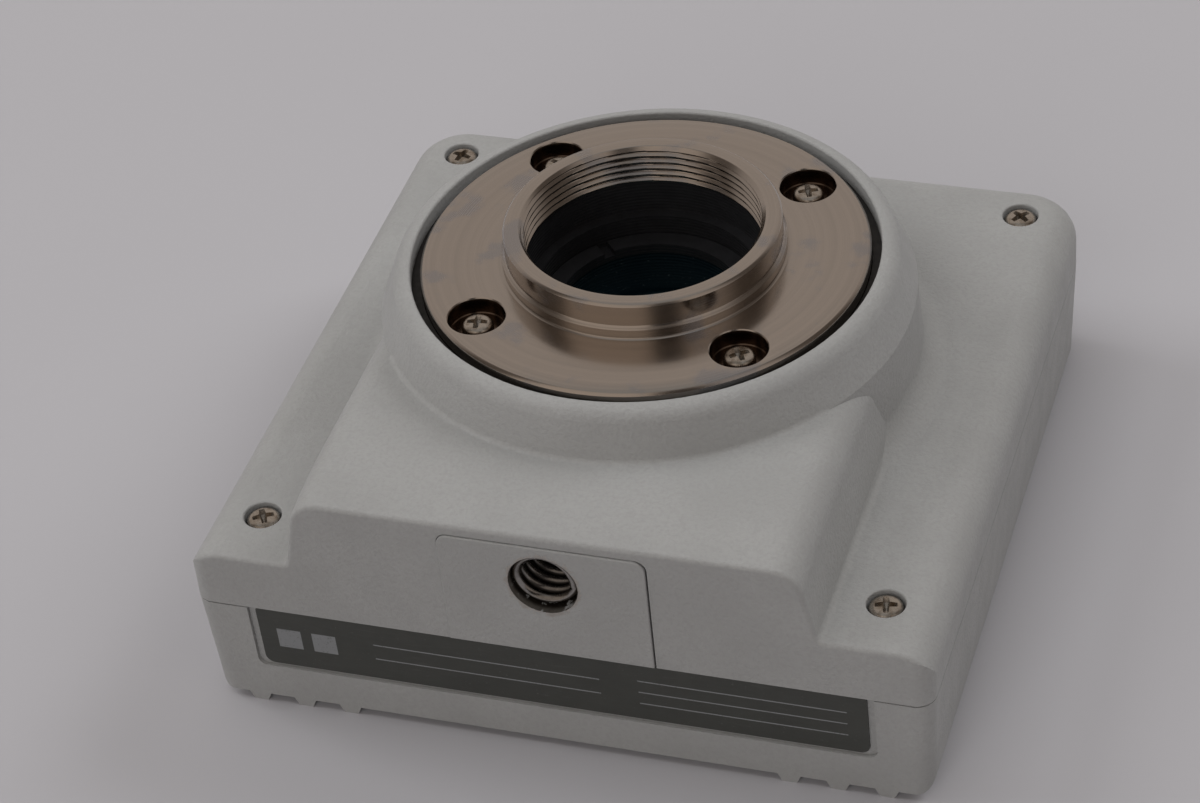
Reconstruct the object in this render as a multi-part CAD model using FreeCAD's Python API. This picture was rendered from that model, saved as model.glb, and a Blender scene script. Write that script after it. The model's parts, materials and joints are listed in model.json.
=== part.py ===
"""Digital camera head with a C-mount lens thread, as an assembly of separate pieces.

Millimetres. The camera lies on its back: +Z runs along the optical axis out of the lens thread, the
tripod pad faces -Y and the data connector faces +Y. The origin is on the optical axis, at the height
of the rib tips that the case rests on.
"""
import FreeCAD, Part
import math
import os

Vector = FreeCAD.Vector

# Case outline
CASE_WIDTH = 77.0
FRONT_Y = -38.5
REAR_Y = 38.0
FRONT_CORNER_RADIUS = 2.0
REAR_CORNER_RADIUS = 6.0
WALL = 2.2
COVER_WALL = 2.5
FLOOR_THICKNESS = 2.0
COVER_DRAFT_DEG = 2.5
BOTTOM_EDGE_ROUND = 1.5
SPLIT_GAP = 0.15

# Heights above the rib tips
RIB_HEIGHT = 1.0
SPLIT_Z = 13.8
LEDGE_Z = 20.4
PLATEAU_FRONT_Z = 28.9
PLATEAU_Z = 29.9
FLANGE_Z = 35.0
COLLAR_Z = 39.0
FLANGE_FOCAL_DISTANCE = 17.526
SENSOR_Z = COLLAR_Z - FLANGE_FOCAL_DISTANCE

# Raised plateau and round boss of the front shell
PLATEAU_TOP_HALF_WIDTH = 25.7
PLATEAU_FOOT_HALF_WIDTH = 27.4
PLATEAU_BEND_START_Y = -29.0
FRONT_EDGE_ROUND = 0.5
BOSS_STEP_FILLET = 0.6
LEDGE_EDGE_ROUND = 3.6
FOOT_FILLET = 0.8
SHOULDER_ROUND = 3.2
BOSS_TOP_RADIUS = 25.84
BOSS_STEP_RADIUS = 27.9
BOSS_FOOT_RADIUS = 28.3
BOSS_TOP_ROUND = 2.0
BOSS_FOOT_FILLET = 3.0
SHELF_BOTTOM_Z = 26.0
SHELF_BORE_RADIUS = 15.0
BAFFLE_SEAT_RADIUS = 16.7
LEDGE_THICKNESS = 2.0
DOME_CAVITY_HALF_WIDTH = 22.6
DOME_CAVITY_RADIUS = 24.0

# Steel lens mount
FLANGE_THICKNESS = 3.0
FLANGE_RADIUS = 23.32
FLANGE_RECESS_RADIUS = 24.37
FLANGE_RIM_CHAMFER = 0.35
COLLAR_UPPER_RADIUS = 14.38
COLLAR_LOWER_RADIUS = 14.75
COLLAR_FOOT_RADIUS = 14.93
COLLAR_STEP_Z = 36.12
COLLAR_STEP_HEIGHT = 0.28
COLLAR_FOOT_CHAMFER = 0.17
COLLAR_RIM_CHAMFER = 0.31
LENS_THREAD_MINOR_RADIUS = 12.27
LENS_THREAD_MOUTH_RADIUS = 12.75
LENS_THREAD_BOTTOM_Z = 34.6
FLANGE_RELIEF_RADIUS = 13.5
FLANGE_SCREW_CIRCLE_RADIUS = 19.5
FLANGE_SCREW_ANGLES = (45.0, 135.0, 225.0, 315.0)
FLANGE_SCREW_TURNS = (22.0, 63.0, 8.0, 35.0)
FLANGE_SCREW_HEAD_RADIUS = 1.65
FLANGE_SCREW_HEAD_HEIGHT = 1.25
FLANGE_SCREW_LENGTH = 5.5
FLANGE_COUNTERBORE_RADIUS = 2.95
FLANGE_COUNTERBORE_DEPTH = 1.9
GAP_RING_CLEARANCE = 0.06
GAP_RING_HEIGHT = 1.3

# Screws: M2 with pan heads everywhere
SCREW_RADIUS = 1.0
SCREW_HEAD_RADIUS = 1.75
SCREW_HEAD_HEIGHT = 1.2
SCREW_CLEARANCE = 0.02
TAPPED_HOLE_RADIUS = SCREW_RADIUS + SCREW_CLEARANCE
THROUGH_HOLE_RADIUS = 1.1

# Case screws at the corners
CASE_SCREW_X = 32.5
CASE_SCREW_Y = 31.7
CASE_SCREW_HEAD_HEIGHT = 1.4
CASE_SCREW_LENGTH = 11.0
CASE_SCREW_TURNS = (30.0, 74.0, 12.0, 51.0)
CASE_SCREW_DIMPLE_RADIUS = 1.95
CASE_SCREW_DIMPLE_DEPTH = 1.5
CASE_SCREW_DIMPLE_ROUND = 0.2
CASE_SCREW_HOLE_BOTTOM_Z = 7.0
CASE_POST_RADIUS = 3.6

# Tripod pad, with a 1/4-20 UNC wire insert
PAD_WIDTH = 21.3
PAD_PROUD = 0.2
PAD_TOP_Z = 27.7
PAD_DEPTH = 10.1
PAD_GAP = 0.1
PAD_POCKET_SHIFT = 0.06
PAD_CORNER_ROUND = 1.2
PAD_EDGE_ROUND = 0.15
PAD_BOTTOM_Z = SPLIT_Z + 0.05
PAD_THICKNESS = 5.0
PAD_BODY_TOP_Z = 25.5
EAR_HALF_WIDTH = 16.5
EAR_THICKNESS = 2.4
EAR_Z_RANGE = (17.0, 23.0)
PAD_SCREW_X = 13.5
PAD_SCREW_Z = 20.0
PAD_SCREW_LENGTH = 3.6
PAD_SCREW_HOLE_SKIN = 0.9
TRIPOD_Z = 23.0
TRIPOD_THREAD_MINOR_RADIUS = 2.59
TRIPOD_INSERT_OUTER_RADIUS = 3.57
TRIPOD_INSERT_LENGTH = 7.0
TRIPOD_INSERT_SET_BACK = 0.15
TRIPOD_HOLE_END_Y = -31.0

# Ribs on the back
RIB_CENTRES = (23.4, 28.4, 33.4)
RIB_TIP_WIDTH = 1.5
RIB_ROOT_WIDTH = 2.4

# Label
LABEL_WIDTH = 63.8
LABEL_HEIGHT = 8.0
LABEL_THICKNESS = 0.25
LABEL_RECESS_DEPTH = 0.45
LABEL_RECESS_MARGIN = 0.8
LABEL_TOP_GAP = 0.05
LABEL_CORNER_RADIUS = 1.0

# Lips of the rear cover, which stand inside the front shell's walls
LIP_THICKNESS = 0.85
LIP_GAP = 0.05
LIP_Z_RANGE = (SPLIT_Z - 1.5, SPLIT_Z + 1.4)
REAR_LIP_END_X = 28.0
SIDE_LIP_END_Y = 27.0
FRONT_LIP_X_RANGE = (17.5, 28.0)

# Circuit boards
BOARD_THICKNESS = 1.6
MAIN_BOARD_Z = 4.4
SENSOR_BOARD_Z = 15.8
SENSOR_BOARD_SIZE = 44.0
STANDOFF_CIRCLE_RADIUS = 18.4
MAIN_BOARD_POST_X = 29.0
MAIN_BOARD_POST_Y = 20.0
MAIN_BOARD_POST_RADIUS = 2.3
MAIN_BOARD_HOLE_BOTTOM_Z = 2.0

# Data connector on the rear face
CONNECTOR_Z = 9.6
JACK_POST_SPACING = 33.0
JACK_POST_HOLE_RADIUS = 1.05
JACK_STUD_RADIUS = 1.3
JACK_OPENING_RADIUS = 2.95
CONNECTOR_OPENING_HALF_WIDTH = 13.1
CONNECTOR_OPENING_HALF_HEIGHT = 3.2
BRACKET_FRONT_Y = 34.6
BRACKET_THICKNESS = 1.0

HALF_WIDTH = CASE_WIDTH / 2
FLOOR_Z = RIB_HEIGHT + FLOOR_THICKNESS
SEAT_Z = FLANGE_Z - FLANGE_THICKNESS
MAIN_BOARD_TOP_Z = MAIN_BOARD_Z + BOARD_THICKNESS
SENSOR_BOARD_TOP_Z = SENSOR_BOARD_Z + BOARD_THICKNESS
PROUD_FRONT_Y = FRONT_Y - PAD_PROUD


# ---- shapes used by many pieces ----

def mirrored_corners(reach_x, reach_y):
    return [(x, y) for x in (-reach_x, reach_x) for y in (-reach_y, reach_y)]


CORNERS = mirrored_corners(CASE_SCREW_X, CASE_SCREW_Y)


def box(x_range, y_range, z_range):
    low = Vector(x_range[0], y_range[0], z_range[0])
    high = Vector(x_range[1], y_range[1], z_range[1])
    size = high - low
    return Part.makeBox(size.x, size.y, size.z, low)


def block(width, depth, z_range, centre=(0.0, 0.0)):
    x, y = centre
    return box((x - width / 2, x + width / 2), (y - depth / 2, y + depth / 2), z_range)


def rod(radius, z_range, centre=(0.0, 0.0)):
    bottom, top = z_range
    return Part.makeCylinder(radius, top - bottom, Vector(centre[0], centre[1], bottom))


def rod_along_y(radius, y_range, centre):
    x, z = centre
    start, end = y_range
    return Part.makeCylinder(radius, end - start, Vector(x, start, z), Vector(0, 1, 0))


def tube(inner_radius, outer_radius, z_range, centre=(0.0, 0.0)):
    return rod(outer_radius, z_range, centre).cut(rod(inner_radius, z_range, centre))


def joined(shapes):
    """One solid from touching or overlapping shapes."""
    first, *others = shapes
    return first.multiFuse(others).removeSplitter() if others else first


def group(shapes):
    """Separate solids that are kept together in one node."""
    return Part.makeCompound([solid for shape in shapes for solid in shape.Solids])


def rounded_wire(corners, place):
    """Closed wire through (u, v, radius) corners; place turns u and v into a point in space."""
    turns = []
    for index, (u, v, radius) in enumerate(corners):
        here = Vector(u, v, 0)
        last_u, last_v, _ = corners[index - 1]
        next_u, next_v, _ = corners[(index + 1) % len(corners)]
        if radius == 0:
            turns.append((here, None, here))
            continue
        back = (Vector(last_u, last_v, 0) - here).normalize()
        ahead = (Vector(next_u, next_v, 0) - here).normalize()
        half_angle = back.getAngle(ahead) / 2
        reach = radius / math.tan(half_angle)
        bisector = (back + ahead).normalize()
        middle = here + bisector * (radius / math.sin(half_angle) - radius)
        turns.append((here + back * reach, middle, here + ahead * reach))
    edges = []
    for index, (start, middle, end) in enumerate(turns):
        if middle is not None:
            edges.append(Part.Arc(place(start), place(middle), place(end)).toShape())
        next_start = turns[(index + 1) % len(turns)][0]
        if end.distanceToPoint(next_start) > 1e-6:
            edges.append(Part.LineSegment(place(end), place(next_start)).toShape())
    return Part.Wire(edges)


def on_plan(z):
    return lambda point: Vector(point.x, point.y, z)


def on_cross_section(y):
    return lambda point: Vector(point.x, y, point.y)


def on_long_section(x):
    return lambda point: Vector(x, point.x, point.y)


def prism(wire, direction):
    return Part.Face(wire).extrude(direction)


def turned(corners):
    """Solid of revolution about the optical axis from (radius, height, rounding) corners."""
    wire = rounded_wire(corners, on_long_section(0.0))
    return Part.Face(wire).revolve(Vector(0, 0, 0), Vector(0, 0, 1), 360)


def pocket_with_round_mouth(radius, floor_z, face_z, rounding):
    """Cutting tool for a round pocket whose edge at the face is rounded over."""
    above = face_z + 1.0
    return turned([
        (0.0, floor_z, 0.0),
        (radius, floor_z, 0.0),
        (radius, face_z, rounding),
        (radius + 1.5 * rounding, face_z, 0.0),
        (radius + 1.5 * rounding, above, 0.0),
        (0.0, above, 0.0),
    ])


def case_outline(z, inset=0.0, front_radius=FRONT_CORNER_RADIUS):
    """Plan outline of the case at a height, drawn in by the inset."""
    side = HALF_WIDTH - inset
    front = FRONT_Y + inset
    rear = REAR_Y - inset
    corners = [
        (-side, front, front_radius),
        (side, front, front_radius),
        (side, rear, REAR_CORNER_RADIUS),
        (-side, rear, REAR_CORNER_RADIUS),
    ]
    return rounded_wire(corners, on_plan(z))


def pan_head_screw(length, head_radius=SCREW_HEAD_RADIUS, head_height=SCREW_HEAD_HEIGHT):
    """Cross-recess pan head screw along +Z, with the underside of its head at the origin."""
    head = turned([
        (0.0, 0.0, 0.0),
        (head_radius, 0.0, 0.0),
        (head_radius, head_height, head_height * 0.55),
        (0.0, head_height, 0.0),
    ])
    shank = rod(SCREW_RADIUS, (-length, 0.0))
    recess_depth = head_height * 0.6
    slot_length = head_radius * 1.15
    slot_width = head_radius * 0.3
    recess_range = (head_height - recess_depth, head_height + 0.1)
    recess = joined([
        block(slot_length, slot_width, recess_range),
        block(slot_width, slot_length, recess_range),
    ])
    return joined([head, shank]).cut(recess)


def placed(shape, position, turn_deg=0.0, axis=Vector(0, 0, 1)):
    copy = shape.copy()
    copy.Placement = FreeCAD.Placement(position, FreeCAD.Rotation(axis, turn_deg))
    return copy


def flange_screw_centres():
    for angle in FLANGE_SCREW_ANGLES:
        turn = math.radians(angle)
        yield (FLANGE_SCREW_CIRCLE_RADIUS * math.cos(turn), FLANGE_SCREW_CIRCLE_RADIUS * math.sin(turn))


def standoff_centres():
    reach = STANDOFF_CIRCLE_RADIUS
    return [(reach, 0.0), (0.0, reach), (-reach, 0.0), (0.0, -reach)]


def main_board_posts():
    return mirrored_corners(MAIN_BOARD_POST_X, MAIN_BOARD_POST_Y)


def jack_post_places():
    return [(side * JACK_POST_SPACING / 2, CONNECTOR_Z) for side in (-1, 1)]


def on_cover_front(shape):
    """Lean a shape that is drawn on the plane of the front face back to the cover's draft."""
    leaning = shape.copy()
    leaning.rotate(Vector(0, FRONT_Y, SPLIT_Z), Vector(1, 0, 0), COVER_DRAFT_DEG)
    return leaning


# ---- case ----

def plateau_section(y, top_z):
    flare = PLATEAU_FOOT_HALF_WIDTH + FOOT_FILLET + 1.0
    below = LEDGE_Z - 1.0
    right = [
        (flare, below, 0.0),
        (flare, LEDGE_Z, 0.0),
        (PLATEAU_FOOT_HALF_WIDTH, LEDGE_Z, FOOT_FILLET),
        (PLATEAU_TOP_HALF_WIDTH, top_z, SHOULDER_ROUND),
    ]
    left = [(-x, z, rounding) for x, z, rounding in reversed(right)]
    return rounded_wire(right + left, on_cross_section(y))


def front_shell_outside():
    slab = prism(case_outline(SPLIT_Z, front_radius=0.0), Vector(0, 0, LEDGE_Z - SPLIT_Z))
    ledge_edges = [
        edge for edge in slab.Edges
        if edge.BoundBox.ZMin > LEDGE_Z - 0.01 and edge.BoundBox.YMax > FRONT_Y + 0.01
    ]
    slab = slab.makeFillet(LEDGE_EDGE_ROUND, ledge_edges)
    bend_length = PLATEAU_BEND_START_Y - FRONT_Y
    fall = PLATEAU_Z - PLATEAU_FRONT_Z
    sections = []
    for part_way in (0.0, 0.25, 0.5, 0.75, 1.0):
        y = PLATEAU_BEND_START_Y - bend_length * part_way
        sections.append(plateau_section(y, PLATEAU_Z - fall * part_way ** 2))
    bend = Part.makeLoft(sections, True, True)
    level = prism(plateau_section(PLATEAU_BEND_START_Y, PLATEAU_Z), Vector(0, -PLATEAU_BEND_START_Y, 0))
    boss_flare = BOSS_FOOT_RADIUS + BOSS_FOOT_FILLET + 1.0
    boss = turned([
        (0.0, LEDGE_Z - 1.0, 0.0),
        (boss_flare, LEDGE_Z - 1.0, 0.0),
        (boss_flare, LEDGE_Z, 0.0),
        (BOSS_FOOT_RADIUS, LEDGE_Z, BOSS_FOOT_FILLET),
        (BOSS_STEP_RADIUS, PLATEAU_Z, 0.0),
        (BOSS_TOP_RADIUS, FLANGE_Z, BOSS_TOP_ROUND),
        (0.0, FLANGE_Z, 0.0),
    ])
    outside = joined([slab, bend, level, boss])
    outside = outside.makeFillet(BOSS_STEP_FILLET, [edge for edge in outside.Edges if is_boss_step(edge)])
    front_edges = [
        edge for edge in outside.Edges
        if edge.BoundBox.YMax < FRONT_Y + 0.01 and edge.BoundBox.ZMax > SPLIT_Z + 0.01
    ]
    outside = outside.makeFillet(FRONT_EDGE_ROUND, front_edges)
    return outside.common(prism(case_outline(SPLIT_Z), Vector(0, 0, COLLAR_Z - SPLIT_Z)))


def is_boss_step(edge):
    """True for the circle where the boss stands on the level part of the plateau."""
    circle = edge.BoundBox
    start = edge.Vertexes[0].Point
    on_circle = abs(math.hypot(start.x, start.y) - BOSS_STEP_RADIUS) < 0.05
    at_step = circle.ZMin > PLATEAU_Z - 0.05 and circle.ZMax < PLATEAU_Z + 0.05
    return on_circle and at_step and circle.YMax < -8.0


def front_shell():
    shell = front_shell_outside()
    ledge_inside = LEDGE_Z - LEDGE_THICKNESS
    dome_z_range = (ledge_inside - 1.0, SHELF_BOTTOM_Z)
    cavity = joined([
        prism(case_outline(SPLIT_Z - 1.0, WALL), Vector(0, 0, ledge_inside - SPLIT_Z + 1.0)),
        box((-DOME_CAVITY_HALF_WIDTH, DOME_CAVITY_HALF_WIDTH), (FRONT_Y + WALL, 0.0), dome_z_range),
        rod(DOME_CAVITY_RADIUS, dome_z_range),
    ])
    post_z_range = (SPLIT_Z, LEDGE_Z - CASE_SCREW_DIMPLE_DEPTH)
    corner_posts = [rod(CASE_POST_RADIUS, post_z_range, corner) for corner in CORNERS]
    cavity = cavity.cut(corner_posts)
    cuts = [
        cavity,
        rod(SHELF_BORE_RADIUS, (SHELF_BOTTOM_Z - 1.0, SEAT_Z + 1.0)),
        rod(BAFFLE_SEAT_RADIUS, (SEAT_Z - BAFFLE_FLANGE_THICKNESS, SEAT_Z + 1.0)),
        pocket_with_round_mouth(FLANGE_RECESS_RADIUS, SEAT_Z, FLANGE_Z, 0.25),
        tripod_pocket(),
    ]
    for centre in flange_screw_centres():
        cuts.append(rod(TAPPED_HOLE_RADIUS, (SHELF_BOTTOM_Z - 1.0, SEAT_Z + 1.0), centre))
    for corner in CORNERS:
        cuts.append(rod(THROUGH_HOLE_RADIUS, (SPLIT_Z - 1.0, LEDGE_Z), corner))
        dimple = pocket_with_round_mouth(
            CASE_SCREW_DIMPLE_RADIUS, LEDGE_Z - CASE_SCREW_DIMPLE_DEPTH, LEDGE_Z, CASE_SCREW_DIMPLE_ROUND)
        cuts.append(placed(dimple, Vector(corner[0], corner[1], 0.0)))
    pad_hole_y_range = (FRONT_Y + PAD_SCREW_HOLE_SKIN, FRONT_Y + WALL + 1.0)
    for x in (-PAD_SCREW_X, PAD_SCREW_X):
        cuts.append(rod_along_y(TAPPED_HOLE_RADIUS, pad_hole_y_range, (x, PAD_SCREW_Z)))
    return shell.cut(cuts)


def rear_cover():
    drop = SPLIT_Z - RIB_HEIGHT
    inset = drop * math.tan(math.radians(COVER_DRAFT_DEG))
    body = Part.makeLoft([case_outline(SPLIT_Z), case_outline(RIB_HEIGHT, inset)], True, True)
    across = rounded_wire([
        (-HALF_WIDTH, SPLIT_Z, 0.0),
        (HALF_WIDTH, SPLIT_Z, 0.0),
        (HALF_WIDTH - inset, RIB_HEIGHT, BOTTOM_EDGE_ROUND),
        (-HALF_WIDTH + inset, RIB_HEIGHT, BOTTOM_EDGE_ROUND),
    ], on_cross_section(FRONT_Y))
    body = body.common(prism(across, Vector(0, REAR_Y - FRONT_Y, 0)))
    ribs = [rib(side * centre, inset) for side in (-1, 1) for centre in RIB_CENTRES]
    body = joined([body] + ribs)
    cavity = prism(case_outline(FLOOR_Z, COVER_WALL), Vector(0, 0, SPLIT_Z + 1.0 - FLOOR_Z))
    case_posts = [rod(CASE_POST_RADIUS, (FLOOR_Z, SPLIT_Z), corner) for corner in CORNERS]
    body = body.cut(cavity.cut(case_posts))
    rim = block(3 * CASE_WIDTH, 3 * CASE_WIDTH, (SPLIT_Z - SPLIT_GAP, SPLIT_Z + 1.0))
    body = body.cut(rim.cut(case_posts))
    body = joined([body] + cover_lips())
    post_z_range = (FLOOR_Z - 0.5, MAIN_BOARD_Z)
    board_posts = [rod(MAIN_BOARD_POST_RADIUS, post_z_range, centre) for centre in main_board_posts()]
    body = joined([body] + board_posts)
    cuts = [label_recess()]
    for corner in CORNERS:
        cuts.append(rod(TAPPED_HOLE_RADIUS, (CASE_SCREW_HOLE_BOTTOM_Z, SPLIT_Z + 1.0), corner))
    for centre in main_board_posts():
        cuts.append(rod(TAPPED_HOLE_RADIUS, (MAIN_BOARD_HOLE_BOTTOM_Z, MAIN_BOARD_Z + 1.0), centre))
    through_wall = (REAR_Y - 4.0, REAR_Y + 2.0)
    cuts.append(box(
        (-CONNECTOR_OPENING_HALF_WIDTH, CONNECTOR_OPENING_HALF_WIDTH),
        through_wall,
        (CONNECTOR_Z - CONNECTOR_OPENING_HALF_HEIGHT, CONNECTOR_Z + CONNECTOR_OPENING_HALF_HEIGHT),
    ))
    for place in jack_post_places():
        cuts.append(rod_along_y(JACK_OPENING_RADIUS, through_wall, place))
    return body.cut(cuts)


def cover_lips():
    """Bars on the rim that stand inside the front shell's walls and close the split line."""
    outer_x = HALF_WIDTH - WALL - LIP_GAP
    outer_front = FRONT_Y + WALL + LIP_GAP
    outer_rear = REAR_Y - WALL - LIP_GAP
    rear_y_range = (outer_rear - LIP_THICKNESS, outer_rear)
    front_y_range = (outer_front, outer_front + LIP_THICKNESS)
    side_y_range = (-SIDE_LIP_END_Y, SIDE_LIP_END_Y)
    lips = [box((-REAR_LIP_END_X, REAR_LIP_END_X), rear_y_range, LIP_Z_RANGE)]
    for side in (-1, 1):
        side_x_range = sorted((side * (outer_x - LIP_THICKNESS), side * outer_x))
        lips.append(box(side_x_range, side_y_range, LIP_Z_RANGE))
        front_x_range = sorted(side * x for x in FRONT_LIP_X_RANGE)
        lips.append(box(front_x_range, front_y_range, LIP_Z_RANGE))
    return lips


def rib(centre, inset):
    """Trapezoid bar along Y; its front end leans with the draft of the front face."""
    root = RIB_ROOT_WIDTH / 2
    tip = RIB_TIP_WIDTH / 2
    lean = RIB_HEIGHT * math.tan(math.radians(COVER_DRAFT_DEG))
    start = FRONT_Y + inset

    def section(front, rear):
        root_points = [(centre - root, RIB_HEIGHT), (centre + root, RIB_HEIGHT)]
        tip_points = [(centre + tip, 0.0), (centre - tip, 0.0)]
        front_face = [Vector(x, front, z) for x, z in root_points]
        front_face += [Vector(x, front + lean, z) for x, z in tip_points]
        rear_face = [Vector(x, rear, z) for x, z in root_points + tip_points]
        return front_face, rear_face

    front_face, rear_face = section(start, REAR_Y - inset - 1.0)
    wires = [Part.makePolygon(points + points[:1]) for points in (front_face, rear_face)]
    return Part.makeLoft(wires, True, True)


def label_shape(margin, y_range):
    """Rounded plate on the front face, from the split line down."""
    half = LABEL_WIDTH / 2 + margin
    top = SPLIT_Z - LABEL_TOP_GAP if margin == 0 else SPLIT_Z + 1.0
    bottom = SPLIT_Z - LABEL_HEIGHT - margin / 2
    wire = rounded_wire([
        (-half, bottom, LABEL_CORNER_RADIUS),
        (half, bottom, LABEL_CORNER_RADIUS),
        (half, top, LABEL_CORNER_RADIUS / 2),
        (-half, top, LABEL_CORNER_RADIUS / 2),
    ], on_cross_section(y_range[0]))
    return on_cover_front(prism(wire, Vector(0, y_range[1] - y_range[0], 0)))


def label_recess():
    return label_shape(LABEL_RECESS_MARGIN, (FRONT_Y - 1.0, FRONT_Y + LABEL_RECESS_DEPTH))


def label_plate():
    face = FRONT_Y + LABEL_RECESS_DEPTH
    return label_shape(0.0, (face - LABEL_THICKNESS, face))


# ---- tripod pad ----

def pad_outline(width, top_z, y):
    half = width / 2
    return rounded_wire([
        (-half, PAD_BOTTOM_Z, 0.0),
        (half, PAD_BOTTOM_Z, 0.0),
        (half, top_z, PAD_CORNER_ROUND),
        (-half, top_z, PAD_CORNER_ROUND),
    ], on_cross_section(y))


def tripod_pocket():
    outline = pad_outline(PAD_WIDTH + 2 * PAD_GAP, PAD_TOP_Z + PAD_GAP, FRONT_Y - 1.0)
    pocket = prism(outline, Vector(0, WALL + 3.0, 0))
    mouth = block(PAD_WIDTH + 2 * PAD_GAP, 6.0, (SPLIT_Z - 1.0, SPLIT_Z + 1.0), (0.0, FRONT_Y))
    pocket = joined([pocket, mouth])
    pocket.translate(Vector(PAD_POCKET_SHIFT, 0, 0))
    return pocket


def tripod_block():
    """Painted pad block with two ears behind the shell's front wall."""
    pad = prism(pad_outline(PAD_WIDTH, PAD_TOP_Z, PROUD_FRONT_Y), Vector(0, PAD_THICKNESS, 0))
    front_edges = [edge for edge in pad.Edges if edge.BoundBox.YMax < PROUD_FRONT_Y + 0.01]
    pad = pad.makeFillet(PAD_EDGE_ROUND, front_edges)
    behind_wall = FRONT_Y + WALL
    body_y_range = (behind_wall, PROUD_FRONT_Y + PAD_DEPTH)
    body = box((-PAD_WIDTH / 2, PAD_WIDTH / 2), body_y_range, (PAD_BOTTOM_Z, PAD_BODY_TOP_Z))
    ear_y_range = (behind_wall, behind_wall + EAR_THICKNESS)
    ears = box((-EAR_HALF_WIDTH, EAR_HALF_WIDTH), ear_y_range, EAR_Z_RANGE)
    block_solid = joined([pad, body, ears])
    hole_radius = TRIPOD_INSERT_OUTER_RADIUS + SCREW_CLEARANCE
    cuts = [rod_along_y(hole_radius, (PROUD_FRONT_Y - 1.0, TRIPOD_HOLE_END_Y), (0.0, TRIPOD_Z))]
    for x in (-PAD_SCREW_X, PAD_SCREW_X):
        through_ear = (behind_wall - 1.0, behind_wall + EAR_THICKNESS + 1.0)
        cuts.append(rod_along_y(THROUGH_HOLE_RADIUS, through_ear, (x, PAD_SCREW_Z)))
    return block_solid.cut(cuts)


def tripod_insert():
    start = PROUD_FRONT_Y + TRIPOD_INSERT_SET_BACK
    y_range = (start, start + TRIPOD_INSERT_LENGTH)
    outer = rod_along_y(TRIPOD_INSERT_OUTER_RADIUS, y_range, (0.0, TRIPOD_Z))
    inner = rod_along_y(TRIPOD_THREAD_MINOR_RADIUS, y_range, (0.0, TRIPOD_Z))
    return outer.cut(inner)


def tripod_block_screws():
    screw = pan_head_screw(PAD_SCREW_LENGTH)
    head_y = FRONT_Y + WALL + EAR_THICKNESS
    seats = [Vector(x, head_y, PAD_SCREW_Z) for x in (-PAD_SCREW_X, PAD_SCREW_X)]
    return group([placed(screw, seat, -90.0, Vector(1, 0, 0)) for seat in seats])


# ---- lens mount and light path ----

def lens_mount_flange():
    mouth = LENS_THREAD_MOUTH_RADIUS - LENS_THREAD_MINOR_RADIUS
    disc = turned([
        (FLANGE_RELIEF_RADIUS, SEAT_Z, 0.0),
        (FLANGE_RADIUS, SEAT_Z, 0.0),
        (FLANGE_RADIUS, FLANGE_Z - FLANGE_RIM_CHAMFER, 0.0),
        (FLANGE_RADIUS - FLANGE_RIM_CHAMFER, FLANGE_Z, 0.0),
        (COLLAR_FOOT_RADIUS, FLANGE_Z, 0.0),
        (COLLAR_LOWER_RADIUS, FLANGE_Z + COLLAR_FOOT_CHAMFER, 0.0),
        (COLLAR_LOWER_RADIUS, COLLAR_STEP_Z, 0.0),
        (COLLAR_UPPER_RADIUS, COLLAR_STEP_Z + COLLAR_STEP_HEIGHT, 0.0),
        (COLLAR_UPPER_RADIUS, COLLAR_Z - COLLAR_RIM_CHAMFER, 0.0),
        (COLLAR_UPPER_RADIUS - COLLAR_RIM_CHAMFER, COLLAR_Z, 0.0),
        (LENS_THREAD_MOUTH_RADIUS, COLLAR_Z, 0.0),
        (LENS_THREAD_MINOR_RADIUS, COLLAR_Z - mouth, 0.0),
        (LENS_THREAD_MINOR_RADIUS, LENS_THREAD_BOTTOM_Z, 0.0),
        (FLANGE_RELIEF_RADIUS, LENS_THREAD_BOTTOM_Z, 0.0),
    ])
    counterbore_floor = FLANGE_Z - FLANGE_COUNTERBORE_DEPTH
    cuts = []
    for centre in flange_screw_centres():
        cuts.append(rod(FLANGE_COUNTERBORE_RADIUS, (counterbore_floor, FLANGE_Z + 1.0), centre))
        cuts.append(rod(THROUGH_HOLE_RADIUS, (SEAT_Z - 1.0, FLANGE_Z), centre))
    return disc.cut(cuts)


def flange_gap_ring():
    inner = FLANGE_RADIUS + GAP_RING_CLEARANCE
    outer = FLANGE_RECESS_RADIUS - GAP_RING_CLEARANCE
    return tube(inner, outer, (SEAT_Z, SEAT_Z + GAP_RING_HEIGHT))


def flange_screws():
    screw = pan_head_screw(FLANGE_SCREW_LENGTH, FLANGE_SCREW_HEAD_RADIUS, FLANGE_SCREW_HEAD_HEIGHT)
    floor_z = FLANGE_Z - FLANGE_COUNTERBORE_DEPTH
    places = zip(flange_screw_centres(), FLANGE_SCREW_TURNS)
    return group([placed(screw, Vector(x, y, floor_z), turn) for (x, y), turn in places])


def case_screws():
    screw = pan_head_screw(CASE_SCREW_LENGTH, head_height=CASE_SCREW_HEAD_HEIGHT)
    seat_z = LEDGE_Z - CASE_SCREW_DIMPLE_DEPTH
    places = zip(CORNERS, CASE_SCREW_TURNS)
    return group([placed(screw, Vector(x, y, seat_z), turn) for (x, y), turn in places])


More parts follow.
